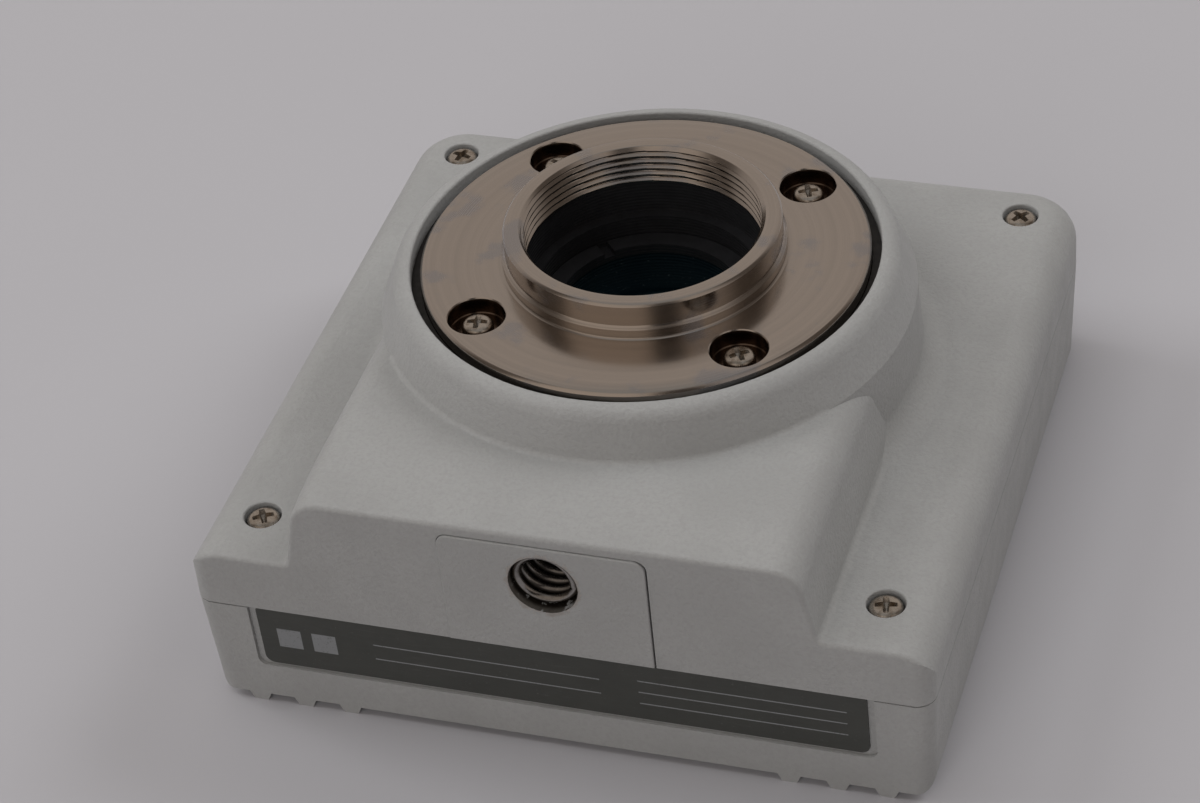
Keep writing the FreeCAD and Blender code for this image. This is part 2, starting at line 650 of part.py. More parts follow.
BAFFLE_BORE_RADIUS = 12.7
BAFFLE_OUTER_RADIUS = 14.9
BAFFLE_FLANGE_RADIUS = 16.6
BAFFLE_FLANGE_THICKNESS = 1.0
BAFFLE_NOSE_RADIUS = 13.4
BAFFLE_TOP_Z = LENS_THREAD_BOTTOM_Z - 0.2
BAFFLE_STEP_Z = 30.6
BAFFLE_BOTTOM_Z = 24.4
FILTER_SEAT_Z = 25.4
FILTER_SEAL_THICKNESS = 0.3
FILTER_THICKNESS = 1.5
FILTER_OPENING_RADIUS = 9.4
FILTER_RADIUS = 11.4
FILTER_POCKET_RADIUS = FILTER_RADIUS + 0.2
SEAL_INNER_RADIUS = 9.7
RETAINER_INNER_RADIUS = 9.6
RETAINER_OUTER_RADIUS = FILTER_RADIUS + 0.15
RETAINER_THICKNESS = 1.2
SPANNER_SLOT_WIDTH = 1.2
SPANNER_SLOT_DEPTH = 0.6
SPANNER_SLOT_TURN = 133.0
GLASS_Z = FILTER_SEAT_Z + FILTER_SEAL_THICKNESS
RETAINER_Z = GLASS_Z + FILTER_THICKNESS


def light_baffle():
    """Black tube clamped under the flange; the filter sits on the lip at its bottom."""
    return turned([
        (FILTER_OPENING_RADIUS, BAFFLE_BOTTOM_Z, 0.0),
        (BAFFLE_OUTER_RADIUS, BAFFLE_BOTTOM_Z, 0.0),
        (BAFFLE_OUTER_RADIUS, SEAT_Z - BAFFLE_FLANGE_THICKNESS, 0.0),
        (BAFFLE_FLANGE_RADIUS, SEAT_Z - BAFFLE_FLANGE_THICKNESS, 0.0),
        (BAFFLE_FLANGE_RADIUS, SEAT_Z, 0.0),
        (BAFFLE_NOSE_RADIUS, SEAT_Z, 0.0),
        (BAFFLE_NOSE_RADIUS, BAFFLE_TOP_Z, 0.0),
        (BAFFLE_BORE_RADIUS, BAFFLE_TOP_Z, 0.0),
        (BAFFLE_BORE_RADIUS, BAFFLE_STEP_Z, 0.0),
        (FILTER_POCKET_RADIUS, BAFFLE_STEP_Z, 0.0),
        (FILTER_POCKET_RADIUS, FILTER_SEAT_Z, 0.0),
        (FILTER_OPENING_RADIUS, FILTER_SEAT_Z, 0.0),
    ])


def filter_seal():
    return tube(SEAL_INNER_RADIUS, FILTER_RADIUS, (FILTER_SEAT_Z, GLASS_Z))


def ir_cut_filter():
    return rod(FILTER_RADIUS, (GLASS_Z, RETAINER_Z))


def filter_retainer():
    """Threaded ring over the filter, slotted across its face for a spanner."""
    top = RETAINER_Z + RETAINER_THICKNESS
    ring = tube(RETAINER_INNER_RADIUS, RETAINER_OUTER_RADIUS, (RETAINER_Z, top))
    slot = block(3 * RETAINER_OUTER_RADIUS, SPANNER_SLOT_WIDTH, (top - SPANNER_SLOT_DEPTH, top + 1.0))
    slot.rotate(Vector(0, 0, 0), Vector(0, 0, 1), SPANNER_SLOT_TURN)
    return ring.cut(slot)


# Widths along X and depths along Y
GASKET_SIZE = (25.0, 25.0)
GASKET_OPENING = (17.2, 14.8)
SENSOR_GLASS_SIZE = (19.0, 16.0)
PACKAGE_SIZE = (21.0, 18.0)
PACKAGE_WELL = (15.0, 12.0)
DIE_SIZE = (10.8, 9.0)
PACKAGE_TOP_Z = 22.2
PACKAGE_BOTTOM_Z = 18.6
DIE_THICKNESS = 0.57
SENSOR_GLASS_THICKNESS = 0.8
PIN_WIDTH = 0.5
PIN_PITCH = 1.27
PINS_PER_ROW = 12
PIN_ROW_X = 9.6


def sensor_dust_gasket():
    z_range = (PACKAGE_TOP_Z + SENSOR_GLASS_THICKNESS, BAFFLE_BOTTOM_Z)
    return block(*GASKET_SIZE, z_range).cut(block(*GASKET_OPENING, z_range))


def sensor_cover_glass():
    return block(*SENSOR_GLASS_SIZE, (PACKAGE_TOP_Z, PACKAGE_TOP_Z + SENSOR_GLASS_THICKNESS))


def sensor_package():
    body = block(*PACKAGE_SIZE, (PACKAGE_BOTTOM_Z, PACKAGE_TOP_Z))
    return body.cut(block(*PACKAGE_WELL, (SENSOR_Z - DIE_THICKNESS, PACKAGE_TOP_Z + 1.0)))


def sensor_die():
    return block(*DIE_SIZE, (SENSOR_Z - DIE_THICKNESS, SENSOR_Z))


def sensor_pins():
    z_range = (SENSOR_BOARD_TOP_Z, PACKAGE_BOTTOM_Z)
    start = -(PINS_PER_ROW - 1) / 2 * PIN_PITCH
    steps = [start + index * PIN_PITCH for index in range(PINS_PER_ROW)]
    centres = [(side * PIN_ROW_X, y) for side in (-1, 1) for y in steps]
    return group([block(PIN_WIDTH, PIN_WIDTH, z_range, centre) for centre in centres])


# ---- boards ----

STANDOFF_RADIUS = 2.0
STANDOFF_HOLE_TOP_Z = 21.0
SENSOR_BOARD_SCREW_LENGTH = 4.4
MAIN_BOARD_SCREW_LENGTH = 3.8
MAIN_BOARD_SIZE = (67.0, 54.0)
MAIN_BOARD_TONGUE_HALF_WIDTH = 20.0
MAIN_BOARD_TONGUE_Y_RANGE = (26.0, 34.0)
CHIP_HEIGHT = 1.0
READOUT_CHIP_SIZE = (7.0, 7.0)
READOUT_CHIP_CENTRES = ((-8.0, -6.0), (8.0, -6.0))
STACK_MIDDLE_Z = 11.0
STACK_CENTRE = (0.0, 10.5)
HEADER_SIZE = (20.0, 4.6)
SOCKET_SIZE = (22.0, 6.0)
PROCESSOR_CENTRE = (-10.0, -6.0)
PROCESSOR_SIZE = (17.0, 17.0)
THERMAL_PAD_SIZE = (16.0, 16.0)
MEMORY_CHIP_SIZE = (8.0, 12.0)
MEMORY_CHIP_CENTRES = ((-20.0, -14.0), (-8.0, -14.0))
CAN_SIZE = (22.0, 16.0)
CAN_CENTRE = (14.0, -12.0)
CAN_HEIGHT = 3.0
CAN_SHEET = 0.3
INDUCTOR_SIZE = (6.0, 6.0)
INDUCTOR_HEIGHT = 2.8
INDUCTOR_CENTRES = ((-17.0, 22.0), (-9.0, 22.0))
CAPACITOR_RADIUS = 2.5
CAPACITOR_HEIGHT = 5.4
CAPACITOR_CENTRES = ((8.0, 21.0), (14.5, 21.0), (21.0, 21.0))
CRYSTAL_SIZE = (5.0, 3.2)
CRYSTAL_CENTRE = (-22.0, 2.0)


def sensor_board():
    board = block(SENSOR_BOARD_SIZE, SENSOR_BOARD_SIZE, (SENSOR_BOARD_Z, SENSOR_BOARD_TOP_Z))
    through = (SENSOR_BOARD_Z - 1.0, SENSOR_BOARD_TOP_Z + 1.0)
    holes = [rod(THROUGH_HOLE_RADIUS, through, centre) for centre in standoff_centres()]
    return board.cut(holes)


def sensor_standoffs():
    posts = []
    for centre in standoff_centres():
        post = rod(STANDOFF_RADIUS, (SENSOR_BOARD_TOP_Z, SHELF_BOTTOM_Z), centre)
        hole = rod(TAPPED_HOLE_RADIUS, (SENSOR_BOARD_TOP_Z - 1.0, STANDOFF_HOLE_TOP_Z), centre)
        posts.append(post.cut(hole))
    return group(posts)


def sensor_board_screws():
    screw = pan_head_screw(SENSOR_BOARD_SCREW_LENGTH)
    across = Vector(1, 0, 0)
    return group([placed(screw, Vector(x, y, SENSOR_BOARD_Z), 180.0, across) for x, y in standoff_centres()])


def sensor_readout_chips():
    z_range = (SENSOR_BOARD_Z - CHIP_HEIGHT, SENSOR_BOARD_Z)
    return group([block(*READOUT_CHIP_SIZE, z_range, centre) for centre in READOUT_CHIP_CENTRES])


def sensor_board_header():
    return block(*HEADER_SIZE, (STACK_MIDDLE_Z, SENSOR_BOARD_Z), STACK_CENTRE)


def main_board_socket():
    return block(*SOCKET_SIZE, (MAIN_BOARD_TOP_Z, STACK_MIDDLE_Z), STACK_CENTRE)


def main_board():
    z_range = (MAIN_BOARD_Z, MAIN_BOARD_TOP_Z)
    tongue_x_range = (-MAIN_BOARD_TONGUE_HALF_WIDTH, MAIN_BOARD_TONGUE_HALF_WIDTH)
    outline = joined([
        block(*MAIN_BOARD_SIZE, z_range),
        box(tongue_x_range, MAIN_BOARD_TONGUE_Y_RANGE, z_range),
    ])
    through = (MAIN_BOARD_Z - 1.0, MAIN_BOARD_TOP_Z + 1.0)
    return outline.cut([rod(THROUGH_HOLE_RADIUS, through, centre) for centre in main_board_posts()])


def main_board_screws():
    screw = pan_head_screw(MAIN_BOARD_SCREW_LENGTH)
    return group([placed(screw, Vector(x, y, MAIN_BOARD_TOP_Z)) for x, y in main_board_posts()])


def processor_chip():
    return block(*PROCESSOR_SIZE, (MAIN_BOARD_Z - CHIP_HEIGHT, MAIN_BOARD_Z), PROCESSOR_CENTRE)


def thermal_pad():
    return block(*THERMAL_PAD_SIZE, (FLOOR_Z, MAIN_BOARD_Z - CHIP_HEIGHT), PROCESSOR_CENTRE)


def memory_chips():
    z_range = (MAIN_BOARD_TOP_Z, MAIN_BOARD_TOP_Z + CHIP_HEIGHT)
    return group([block(*MEMORY_CHIP_SIZE, z_range, centre) for centre in MEMORY_CHIP_CENTRES])


def shield_can():
    width, depth = CAN_SIZE
    base = MAIN_BOARD_TOP_Z
    outer = block(width, depth, (base, base + CAN_HEIGHT), CAN_CENTRE)
    inner_z_range = (base - 1.0, base + CAN_HEIGHT - CAN_SHEET)
    return outer.cut(block(width - 2 * CAN_SHEET, depth - 2 * CAN_SHEET, inner_z_range, CAN_CENTRE))


def power_inductors():
    z_range = (MAIN_BOARD_TOP_Z, MAIN_BOARD_TOP_Z + INDUCTOR_HEIGHT)
    return group([block(*INDUCTOR_SIZE, z_range, centre) for centre in INDUCTOR_CENTRES])


def filter_capacitors():
    z_range = (MAIN_BOARD_TOP_Z, MAIN_BOARD_TOP_Z + CAPACITOR_HEIGHT)
    return group([rod(CAPACITOR_RADIUS, z_range, centre) for centre in CAPACITOR_CENTRES])


def clock_crystal():
    return block(*CRYSTAL_SIZE, (MAIN_BOARD_TOP_Z, MAIN_BOARD_TOP_Z + CHIP_HEIGHT), CRYSTAL_CENTRE)


# ---- data connector ----

CONNECTOR_REAR_Y = REAR_Y + 0.6
CONNECTOR_FRONT_Y = 28.0
# Widths along X and heights along Z
BAND_SIZE = (25.0, 6.0)
BAND_HOLLOW_SIZE = (24.2, 5.2)
BRACKET_SIZE = (40.0, 6.8)
BRACKET_HOLE_RADIUS = 1.35
INSULATOR_BASE_SIZE = (24.1, 5.1)
INSULATOR_BASE_DEPTH = 3.0
TONGUE_SIZE = (19.0, 1.5)
TONGUE_SET_BACK = 0.8
CONTACT_SIZE = (0.6, 0.2)
CONTACT_SET_BACK = 1.2
CONTACT_PITCH = 1.27
CONTACTS_PER_ROW = 13
JACK_HEAD_FLATS = 4.8
JACK_HEAD_REAR_Y = REAR_Y + 0.7
JACK_HOLE_DEPTH = 3.0
JACK_STUD_LENGTH = 2.4
NUT_FLATS = 5.0
NUT_THICKNESS = 2.0


def connector_block(width, height, y_range, rounding=1.0):
    half = width / 2
    low = CONNECTOR_Z - height / 2
    high = CONNECTOR_Z + height / 2
    wire = rounded_wire([
        (-half, low, rounding),
        (half, low, rounding),
        (half, high, rounding),
        (-half, high, rounding),
    ], on_cross_section(y_range[0]))
    return prism(wire, Vector(0, y_range[1] - y_range[0], 0))


def connector_shell():
    """Metal band of the receptacle with the bracket that the jack posts clamp."""
    band = connector_block(*BAND_SIZE, (CONNECTOR_FRONT_Y, CONNECTOR_REAR_Y), 1.6)
    bracket = connector_block(*BRACKET_SIZE, (BRACKET_FRONT_Y, BRACKET_FRONT_Y + BRACKET_THICKNESS))
    hollow = connector_block(*BAND_HOLLOW_SIZE, (CONNECTOR_FRONT_Y - 1.0, CONNECTOR_REAR_Y + 1.0), 1.2)
    through = (BRACKET_FRONT_Y - 1.0, REAR_Y)
    holes = [rod_along_y(BRACKET_HOLE_RADIUS, through, place) for place in jack_post_places()]
    return joined([band, bracket]).cut([hollow] + holes)


def connector_insulator():
    """Base at the inner end of the band, with a tongue that carries the contacts."""
    base_rear = CONNECTOR_FRONT_Y + INSULATOR_BASE_DEPTH
    base = connector_block(*INSULATOR_BASE_SIZE, (CONNECTOR_FRONT_Y, base_rear), 1.15)
    tongue = connector_block(*TONGUE_SIZE, (base_rear - 1.0, CONNECTOR_REAR_Y - TONGUE_SET_BACK), 0.3)
    return joined([base, tongue])


def connector_contacts():
    width, thickness = CONTACT_SIZE
    y_range = (CONNECTOR_FRONT_Y + INSULATOR_BASE_DEPTH, CONNECTOR_REAR_Y - CONTACT_SET_BACK)
    tongue_half = TONGUE_SIZE[1] / 2
    bars = []
    for index in range(CONTACTS_PER_ROW):
        x = (index - (CONTACTS_PER_ROW - 1) / 2) * CONTACT_PITCH
        for low in (CONNECTOR_Z + tongue_half, CONNECTOR_Z - tongue_half - thickness):
            bars.append(box((x - width / 2, x + width / 2), y_range, (low, low + thickness)))
    return group(bars)


def hexagon(across_flats, y_range, place):
    x, z = place
    radius = across_flats / math.sqrt(3)
    corners = [math.radians(60 * index) for index in range(6)]
    points = [Vector(x + radius * math.cos(a), y_range[0], z + radius * math.sin(a)) for a in corners]
    wire = Part.makePolygon(points + points[:1])
    return prism(wire, Vector(0, y_range[1] - y_range[0], 0))


def jack_posts():
    posts = []
    bracket_rear = BRACKET_FRONT_Y + BRACKET_THICKNESS
    for place in jack_post_places():
        head = hexagon(JACK_HEAD_FLATS, (bracket_rear, JACK_HEAD_REAR_Y), place)
        stud = rod_along_y(JACK_STUD_RADIUS, (BRACKET_FRONT_Y - JACK_STUD_LENGTH, bracket_rear), place)
        hole_y_range = (JACK_HEAD_REAR_Y - JACK_HOLE_DEPTH, JACK_HEAD_REAR_Y + 1.0)
        hole = rod_along_y(JACK_POST_HOLE_RADIUS, hole_y_range, place)
        posts.append(joined([head, stud]).cut(hole))
    return group(posts)


def jack_post_nuts():
    nuts = []
    for place in jack_post_places():
        nut = hexagon(NUT_FLATS, (BRACKET_FRONT_Y - NUT_THICKNESS, BRACKET_FRONT_Y), place)
        hole = rod_along_y(JACK_STUD_RADIUS + SCREW_CLEARANCE, (BRACKET_FRONT_Y - 3.0, REAR_Y), place)
        nuts.append(nut.cut(hole))
    return group(nuts)


PIECES = [
    front_shell,
    rear_cover,
    lens_mount_flange,
    flange_gap_ring,
    flange_screws,
    case_screws,
    tripod_block,
    tripod_insert,
    tripod_block_screws,
    label_plate,
    light_baffle,
    filter_seal,
    ir_cut_filter,
    filter_retainer,
    sensor_dust_gasket,
    sensor_cover_glass,
    sensor_package,
    sensor_die,
    sensor_pins,
    sensor_board,
    sensor_standoffs,
    sensor_board_screws,
    sensor_readout_chips,
    sensor_board_header,
    main_board_socket,
    main_board,
    main_board_screws,
    processor_chip,
    thermal_pad,
    memory_chips,
    shield_can,
    power_inductors,
    filter_capacitors,
    clock_crystal,
    connector_shell,
    connector_insulator,
    connector_contacts,
    jack_posts,
    jack_post_nuts,
]

os.makedirs("parts", exist_ok=True)
for piece in PIECES:
    shape = piece()
    shape.exportStep(os.path.join("parts", piece.__name__ + ".step"))
    size = shape.BoundBox
    print(
        f"{piece.__name__:24s} solids {len(shape.Solids):2d}  valid {shape.isValid()}  "
        f"volume {shape.Volume:10.2f}  x {size.XMin:7.2f} {size.XMax:7.2f}  "
        f"y {size.YMin:7.2f} {size.YMax:7.2f}  z {size.ZMin:6.2f} {size.ZMax:6.2f}"
    )
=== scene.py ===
import json
import math

import bmesh
import bpy
from mathutils import Matrix, Vector


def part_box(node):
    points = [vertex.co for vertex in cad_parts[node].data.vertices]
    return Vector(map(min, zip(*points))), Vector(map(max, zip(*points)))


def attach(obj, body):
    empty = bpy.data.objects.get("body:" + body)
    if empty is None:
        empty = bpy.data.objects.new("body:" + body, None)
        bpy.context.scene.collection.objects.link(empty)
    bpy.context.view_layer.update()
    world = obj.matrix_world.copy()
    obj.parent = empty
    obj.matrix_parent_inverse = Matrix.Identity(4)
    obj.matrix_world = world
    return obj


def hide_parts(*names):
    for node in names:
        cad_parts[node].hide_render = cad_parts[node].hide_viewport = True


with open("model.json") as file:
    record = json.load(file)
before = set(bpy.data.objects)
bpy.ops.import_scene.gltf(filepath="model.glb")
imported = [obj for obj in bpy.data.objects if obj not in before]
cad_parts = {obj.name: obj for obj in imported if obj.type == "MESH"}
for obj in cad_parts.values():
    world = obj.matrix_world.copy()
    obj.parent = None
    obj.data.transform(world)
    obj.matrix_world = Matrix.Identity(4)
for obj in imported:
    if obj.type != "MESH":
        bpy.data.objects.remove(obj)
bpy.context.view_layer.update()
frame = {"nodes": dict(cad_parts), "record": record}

MM = 0.001
NODES = frame["nodes"]

# ---- places taken from the frame ----
FLANGE_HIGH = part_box("lens_mount_flange")[1]
INSERT_LOW, INSERT_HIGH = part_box("tripod_insert")
PAD_FRONT_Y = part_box("tripod_block")[0].y

COLLAR_Z = FLANGE_HIGH.z
FLANGE_RADIUS = FLANGE_HIGH.x
FLANGE_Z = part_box("front_shell")[1].z
SEAT_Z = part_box("flange_gap_ring")[0].z
TRIPOD_Z = (INSERT_LOW.z + INSERT_HIGH.z) / 2

# ---- lens mount ----
RIM_CHAMFER = 0.35 * MM
COLLAR_FOOT_RADIUS = 14.96 * MM
COLLAR_LOWER_RADIUS = 14.75 * MM
COLLAR_UPPER_RADIUS = 14.38 * MM
COLLAR_TOP_RADIUS = 14.05 * MM
COUNTERBORE_RADIUS = 2.95 * MM
COUNTERBORE_DEPTH = 1.9 * MM
SCREW_CIRCLE_RADIUS = 19.5 * MM
SCREW_ANGLES = (45.0, 135.0, 225.0, 315.0)
SCREW_HOLE_RADIUS = 1.05 * MM
THREAD_MINOR_RADIUS = 12.27 * MM
THREAD_MAJOR_RADIUS = 12.60 * MM
THREAD_PITCH = 25.4 * MM / 32
THREAD_BOTTOM_Z = FLANGE_Z - 0.4 * MM
THREAD_MOUTH_RADIUS = 12.75 * MM
THREAD_CREST_SHARE = 0.18
THREAD_ROOT_SHARE = 0.86
THREAD_ROWS = 110
MOUTH_CHAMFER_DEPTH = 0.98 * MM
RELIEF_RADIUS = 13.5 * MM
MOUNT_STEPS = 288

# ---- screws ----
SHANK_RADIUS = 0.95 * MM
FLANGE_SCREW_HEAD_RADIUS = 1.65 * MM
FLANGE_SCREW_HEAD_HEIGHT = 1.25 * MM
FLANGE_SCREW_TURNS = (22.0, 63.0, 8.0, 35.0)
CASE_SCREW_HEAD_RADIUS = 1.75 * MM
CASE_SCREW_HEAD_HEIGHT = 1.4 * MM
CASE_SCREW_TURNS = (30.0, 74.0, 12.0, 51.0)
CASE_SCREW_X = 32.5 * MM
CASE_SCREW_Y = 31.7 * MM
CASE_SCREW_SEAT_Z = 18.9 * MM

# ---- label: squares and ruled lines as start and end across, low and high, in millimetres ----
LABEL_PRINT = (
    (-30.0, -27.4, 8.4, 11.0),
    (-26.2, -23.6, 8.4, 11.0),
    (-19.5, 4.5, 10.6, 10.75),
    (-19.5, 4.5, 8.6, 8.75),
    (8.5, 29.8, 11.2, 11.35),
    (8.5, 29.8, 9.6, 9.75),
    (8.5, 29.8, 8.0, 8.15),
)

LABEL_PRINT_COLOUR = (0.235, 0.245, 0.255)

# ---- tripod thread insert ----
INSERT_OUTER_RADIUS = 3.57 * MM
INSERT_INNER_RADIUS = 2.59 * MM
INSERT_PITCH = 25.4 * MM / 20
COIL_STEPS_PER_TURN = 48

# ---- view ----
CAMERA_AZIMUTH = 21.06
CAMERA_ELEVATION = 39.47
CAMERA_ROLL = -6.42
CAMERA_DISTANCE = 0.3539
CAMERA_AIM = Vector((0.0004, -0.0187, 0.030))
CAMERA_LENS = 106.09
LIGHT_DISTANCE = 1.3
LIGHT_SIZE = 0.7
FLOOR_REACH = 3.0


# ---- shader helpers ----

class Shader:
    """A material's node tree, with short calls for the nodes that are used here."""

    def __init__(self, name):
        self.material = bpy.data.materials.new(name)
        self.material.use_nodes = True
        self.tree = self.material.node_tree
        self.nodes = self.tree.nodes
        self.nodes.clear()
        self.output = self.nodes.new("ShaderNodeOutputMaterial")
        self.surface = self.nodes.new("ShaderNodeBsdfPrincipled")
        self.tree.links.new(self.surface.outputs[0], self.output.inputs["Surface"])
        self.place = self.nodes.new("ShaderNodeTexCoord").outputs["Object"]

    def put(self, socket, value):
        if isinstance(value, bpy.types.NodeSocket):
            self.tree.links.new(value, socket)
        else:
            socket.default_value = value

    def set(self, **values):
        """Values or links for the surface shader, by socket name with _ for a space."""
        for name, value in values.items():
            self.put(self.surface.inputs[name.replace("_", " ")], value)

    def math(self, operation, first, second=0.0, third=0.0):
        node = self.nodes.new("ShaderNodeMath")
        node.operation = operation
        for socket, value in zip(node.inputs, (first, second, third)):
            self.put(socket, value)
        return node.outputs[0]

    def noise(self, size, detail=2.0, roughness=0.5, place=None):
        """Noise whose blobs are about this size in metres."""
        node = self.nodes.new("ShaderNodeTexNoise")
        self.put(node.inputs["Vector"], place or self.place)
        node.inputs["Scale"].default_value = 1.0 / size
        node.inputs["Detail"].default_value = detail
        node.inputs["Roughness"].default_value = roughness
        return node.outputs["Fac"]

    def noise_along(self, distance, size, detail=2.0):
        """Noise that changes only with a distance in metres."""
        node = self.nodes.new("ShaderNodeTexNoise")
        node.noise_dimensions = "1D"
        self.put(node.inputs["W"], distance)
        node.inputs["Scale"].default_value = 1.0 / size
        node.inputs["Detail"].default_value = detail
        return node.outputs["Fac"]

    def cells(self, size, randomness=1.0):
        """Distance to the nearest of scattered points, in cell sizes, and each cell's own colour."""
        node = self.nodes.new("ShaderNodeTexVoronoi")
        self.put(node.inputs["Vector"], self.place)
        node.inputs["Scale"].default_value = 1.0 / size
        node.inputs["Randomness"].default_value = randomness
        return node.outputs["Distance"], node.outputs["Color"]

    def span(self, value, low, high, to_low=0.0, to_high=1.0):
        node = self.nodes.new("ShaderNodeMapRange")
        node.interpolation_type = "SMOOTHSTEP"
        for name, given in zip(("Value", "From Min", "From Max", "To Min", "To Max"),
                               (value, low, high, to_low, to_high)):
            self.put(node.inputs[name], given)
        return node.outputs["Result"]

    def blend(self, factor, first, second):
        node = self.nodes.new("ShaderNodeMix")
        node.data_type = "RGBA"
        self.put(node.inputs["Factor"], factor)
        for socket, value in zip((node.inputs[6], node.inputs[7]), (first, second)):
            self.put(socket, value if isinstance(value, bpy.types.NodeSocket) else (*value, 1.0))
        return node.outputs[2]

    def channels(self, colour):
        node = self.nodes.new("ShaderNodeSeparateColor")
        self.put(node.inputs[0], colour)
        return node.outputs

    def axes(self):
        node = self.nodes.new("ShaderNodeSeparateXYZ")
        self.put(node.inputs[0], self.place)
        return node.outputs

    def from_line(self, first, second, centre=(0.0, 0.0)):
        """Distance from a straight line, from the two coordinates across it."""
        across = self.math("SUBTRACT", first, centre[0])
        up = self.math("SUBTRACT", second, centre[1])
        return self.math("SQRT", self.math("ADD", self.math("MULTIPLY", across, across),
                                           self.math("MULTIPLY", up, up)))

    def bump(self, *layers):
        """Normal from (height, depth in metres, strength) layers."""
        normal = None
        for height, depth, strength in layers:
            node = self.nodes.new("ShaderNodeBump")
            node.inputs["Strength"].default_value = strength
            node.inputs["Distance"].default_value = depth
            self.put(node.inputs["Height"], height)
            if normal is not None:
                self.put(node.inputs["Normal"], normal)
            normal = node.outputs[0]
        self.put(self.surface.inputs["Normal"], normal)


# ---- materials ----

def paint(name, colour, with_chips=False):
    """Baked powder paint: pebbled skin with painted shade in its hollows, faint cloudiness, a few dark
    specks.
    """
    shader = Shader(name)
    clouds = shader.noise(9 * MM, 3.0)
    pebbles = shader.noise(0.42 * MM, 3.0, 0.6)
    grain = shader.noise(0.16 * MM, 2.0)
    tone = shader.span(clouds, 0.3, 0.7, 0.0, 1.0)
    darker = tuple(channel * 0.93 for channel in colour)
    body = shader.blend(tone, darker, colour)
    # Painted shade: the pebbles' hollows, taken from the same noise as the bump, are darkened.
    hollow_shade = shader.span(pebbles, 0.30, 0.62, 0.55, 0.0)
    body = shader.blend(hollow_shade, body, tuple(channel * 0.86 for channel in colour))
    distance, own = shader.cells(11 * MM)
    size = shader.math("MULTIPLY", shader.channels(own)[0], 0.022)
    speck = shader.math("LESS_THAN", distance, shader.math("SUBTRACT", size, 0.009))
    body = shader.blend(speck, body, (0.035, 0.03, 0.026))
    rough = shader.span(shader.noise(3 * MM, 3.0), 0.3, 0.7, 0.46, 0.58)
    shader.set(Base_Color=body, Roughness=rough)
    shader.set(Specular_IOR_Level=0.42)
    shader.bump((pebbles, 0.09 * MM, 1.0), (grain, 0.02 * MM, 0.6))
    if with_chips:
        chip_round_hole(shader, body)
    return shader.material


def chip_round_hole(shader, body):
    """Bare metal where the paint has broken away round the tripod socket's mouth, with painted shade
    darkening it deeper into the hole.
    """
    x, y, z = shader.axes()
    radius = shader.from_line(x, z, (0.0, TRIPOD_Z))
    ragged = shader.span(shader.noise(0.9 * MM, 4.0, 0.7), 0.25, 0.75, -0.35 * MM, 0.75 * MM)
    edge = shader.math("ADD", ragged, INSERT_OUTER_RADIUS + 0.12 * MM)
    bare = shader.math("LESS_THAN", radius, edge)
    # Painted shade: the bare metal goes from pale to nearly black deeper into the socket.
    depth = shader.span(y, PAD_FRONT_Y + 0.25 * MM, PAD_FRONT_Y + 1.0 * MM, 0.0, 1.0)
    metal = shader.blend(depth, (0.46, 0.44, 0.41), (0.07, 0.06, 0.05))
    shader.set(Base_Color=shader.blend(bare, body, metal))
    shader.set(Metallic=shader.math("MULTIPLY", bare, 0.9))


def turned_steel():
    """Lathe-turned stainless steel: rings round the axis, stains, and painted shade in its counterbores."""
    shader = Shader("turned_steel")
    x, y, z = shader.axes()
    radius = shader.from_line(x, y)
    along = shader.math("ADD", radius, z)
    rings = shader.noise_along(along, 0.055 * MM, 3.0)
    wide_rings = shader.noise_along(along, 0.9 * MM, 2.0)
    smudges = shader.noise(7 * MM, 4.0, 0.6)
    stain = shader.span(smudges, 0.53, 0.64, 0.0, 0.85)
    warm = shader.blend(wide_rings, (0.50, 0.455, 0.415), (0.64, 0.575, 0.52))
    warm = shader.blend(shader.span(rings, 0.50, 0.72, 0.0, 0.35), warm, (0.40, 0.355, 0.315))
    colour = shader.blend(stain, warm, (0.47, 0.455, 0.46))
    # Painted shade: below the flange face the counterbores turn dark brown, starting 0.1 mm down and at
    # full strength by 0.5 mm.
    sunk = shader.span(z, FLANGE_Z - 0.5 * MM, FLANGE_Z - 0.1 * MM, 1.0, 0.0)
    reach = COUNTERBORE_RADIUS + 0.25 * MM
    beyond_collar = shader.math("GREATER_THAN", radius, SCREW_CIRCLE_RADIUS - reach)
    within_rim = shader.math("LESS_THAN", radius, SCREW_CIRCLE_RADIUS + reach)
    counterbore_shade = shader.math("MULTIPLY", sunk, shader.math("MULTIPLY", beyond_collar, within_rim))
    colour = shader.blend(counterbore_shade, colour, (0.15, 0.11, 0.085))
    rough = shader.math("ADD", shader.span(rings, 0.3, 0.7, 0.15, 0.25),
                        shader.math("MULTIPLY", stain, 0.06))
    shader.set(Base_Color=colour, Metallic=1.0, Roughness=rough)
    shader.set(Anisotropic=0.35)
    tangent = shader.nodes.new("ShaderNodeTangent")
    tangent.direction_type = "RADIAL"
    tangent.axis = "Z"
    shader.set(Tangent=tangent.outputs[0])
    shader.bump((rings, 0.0012 * MM, 0.55), (shader.noise(0.3 * MM, 3.0), 0.001 * MM, 0.3))
    return shader.material


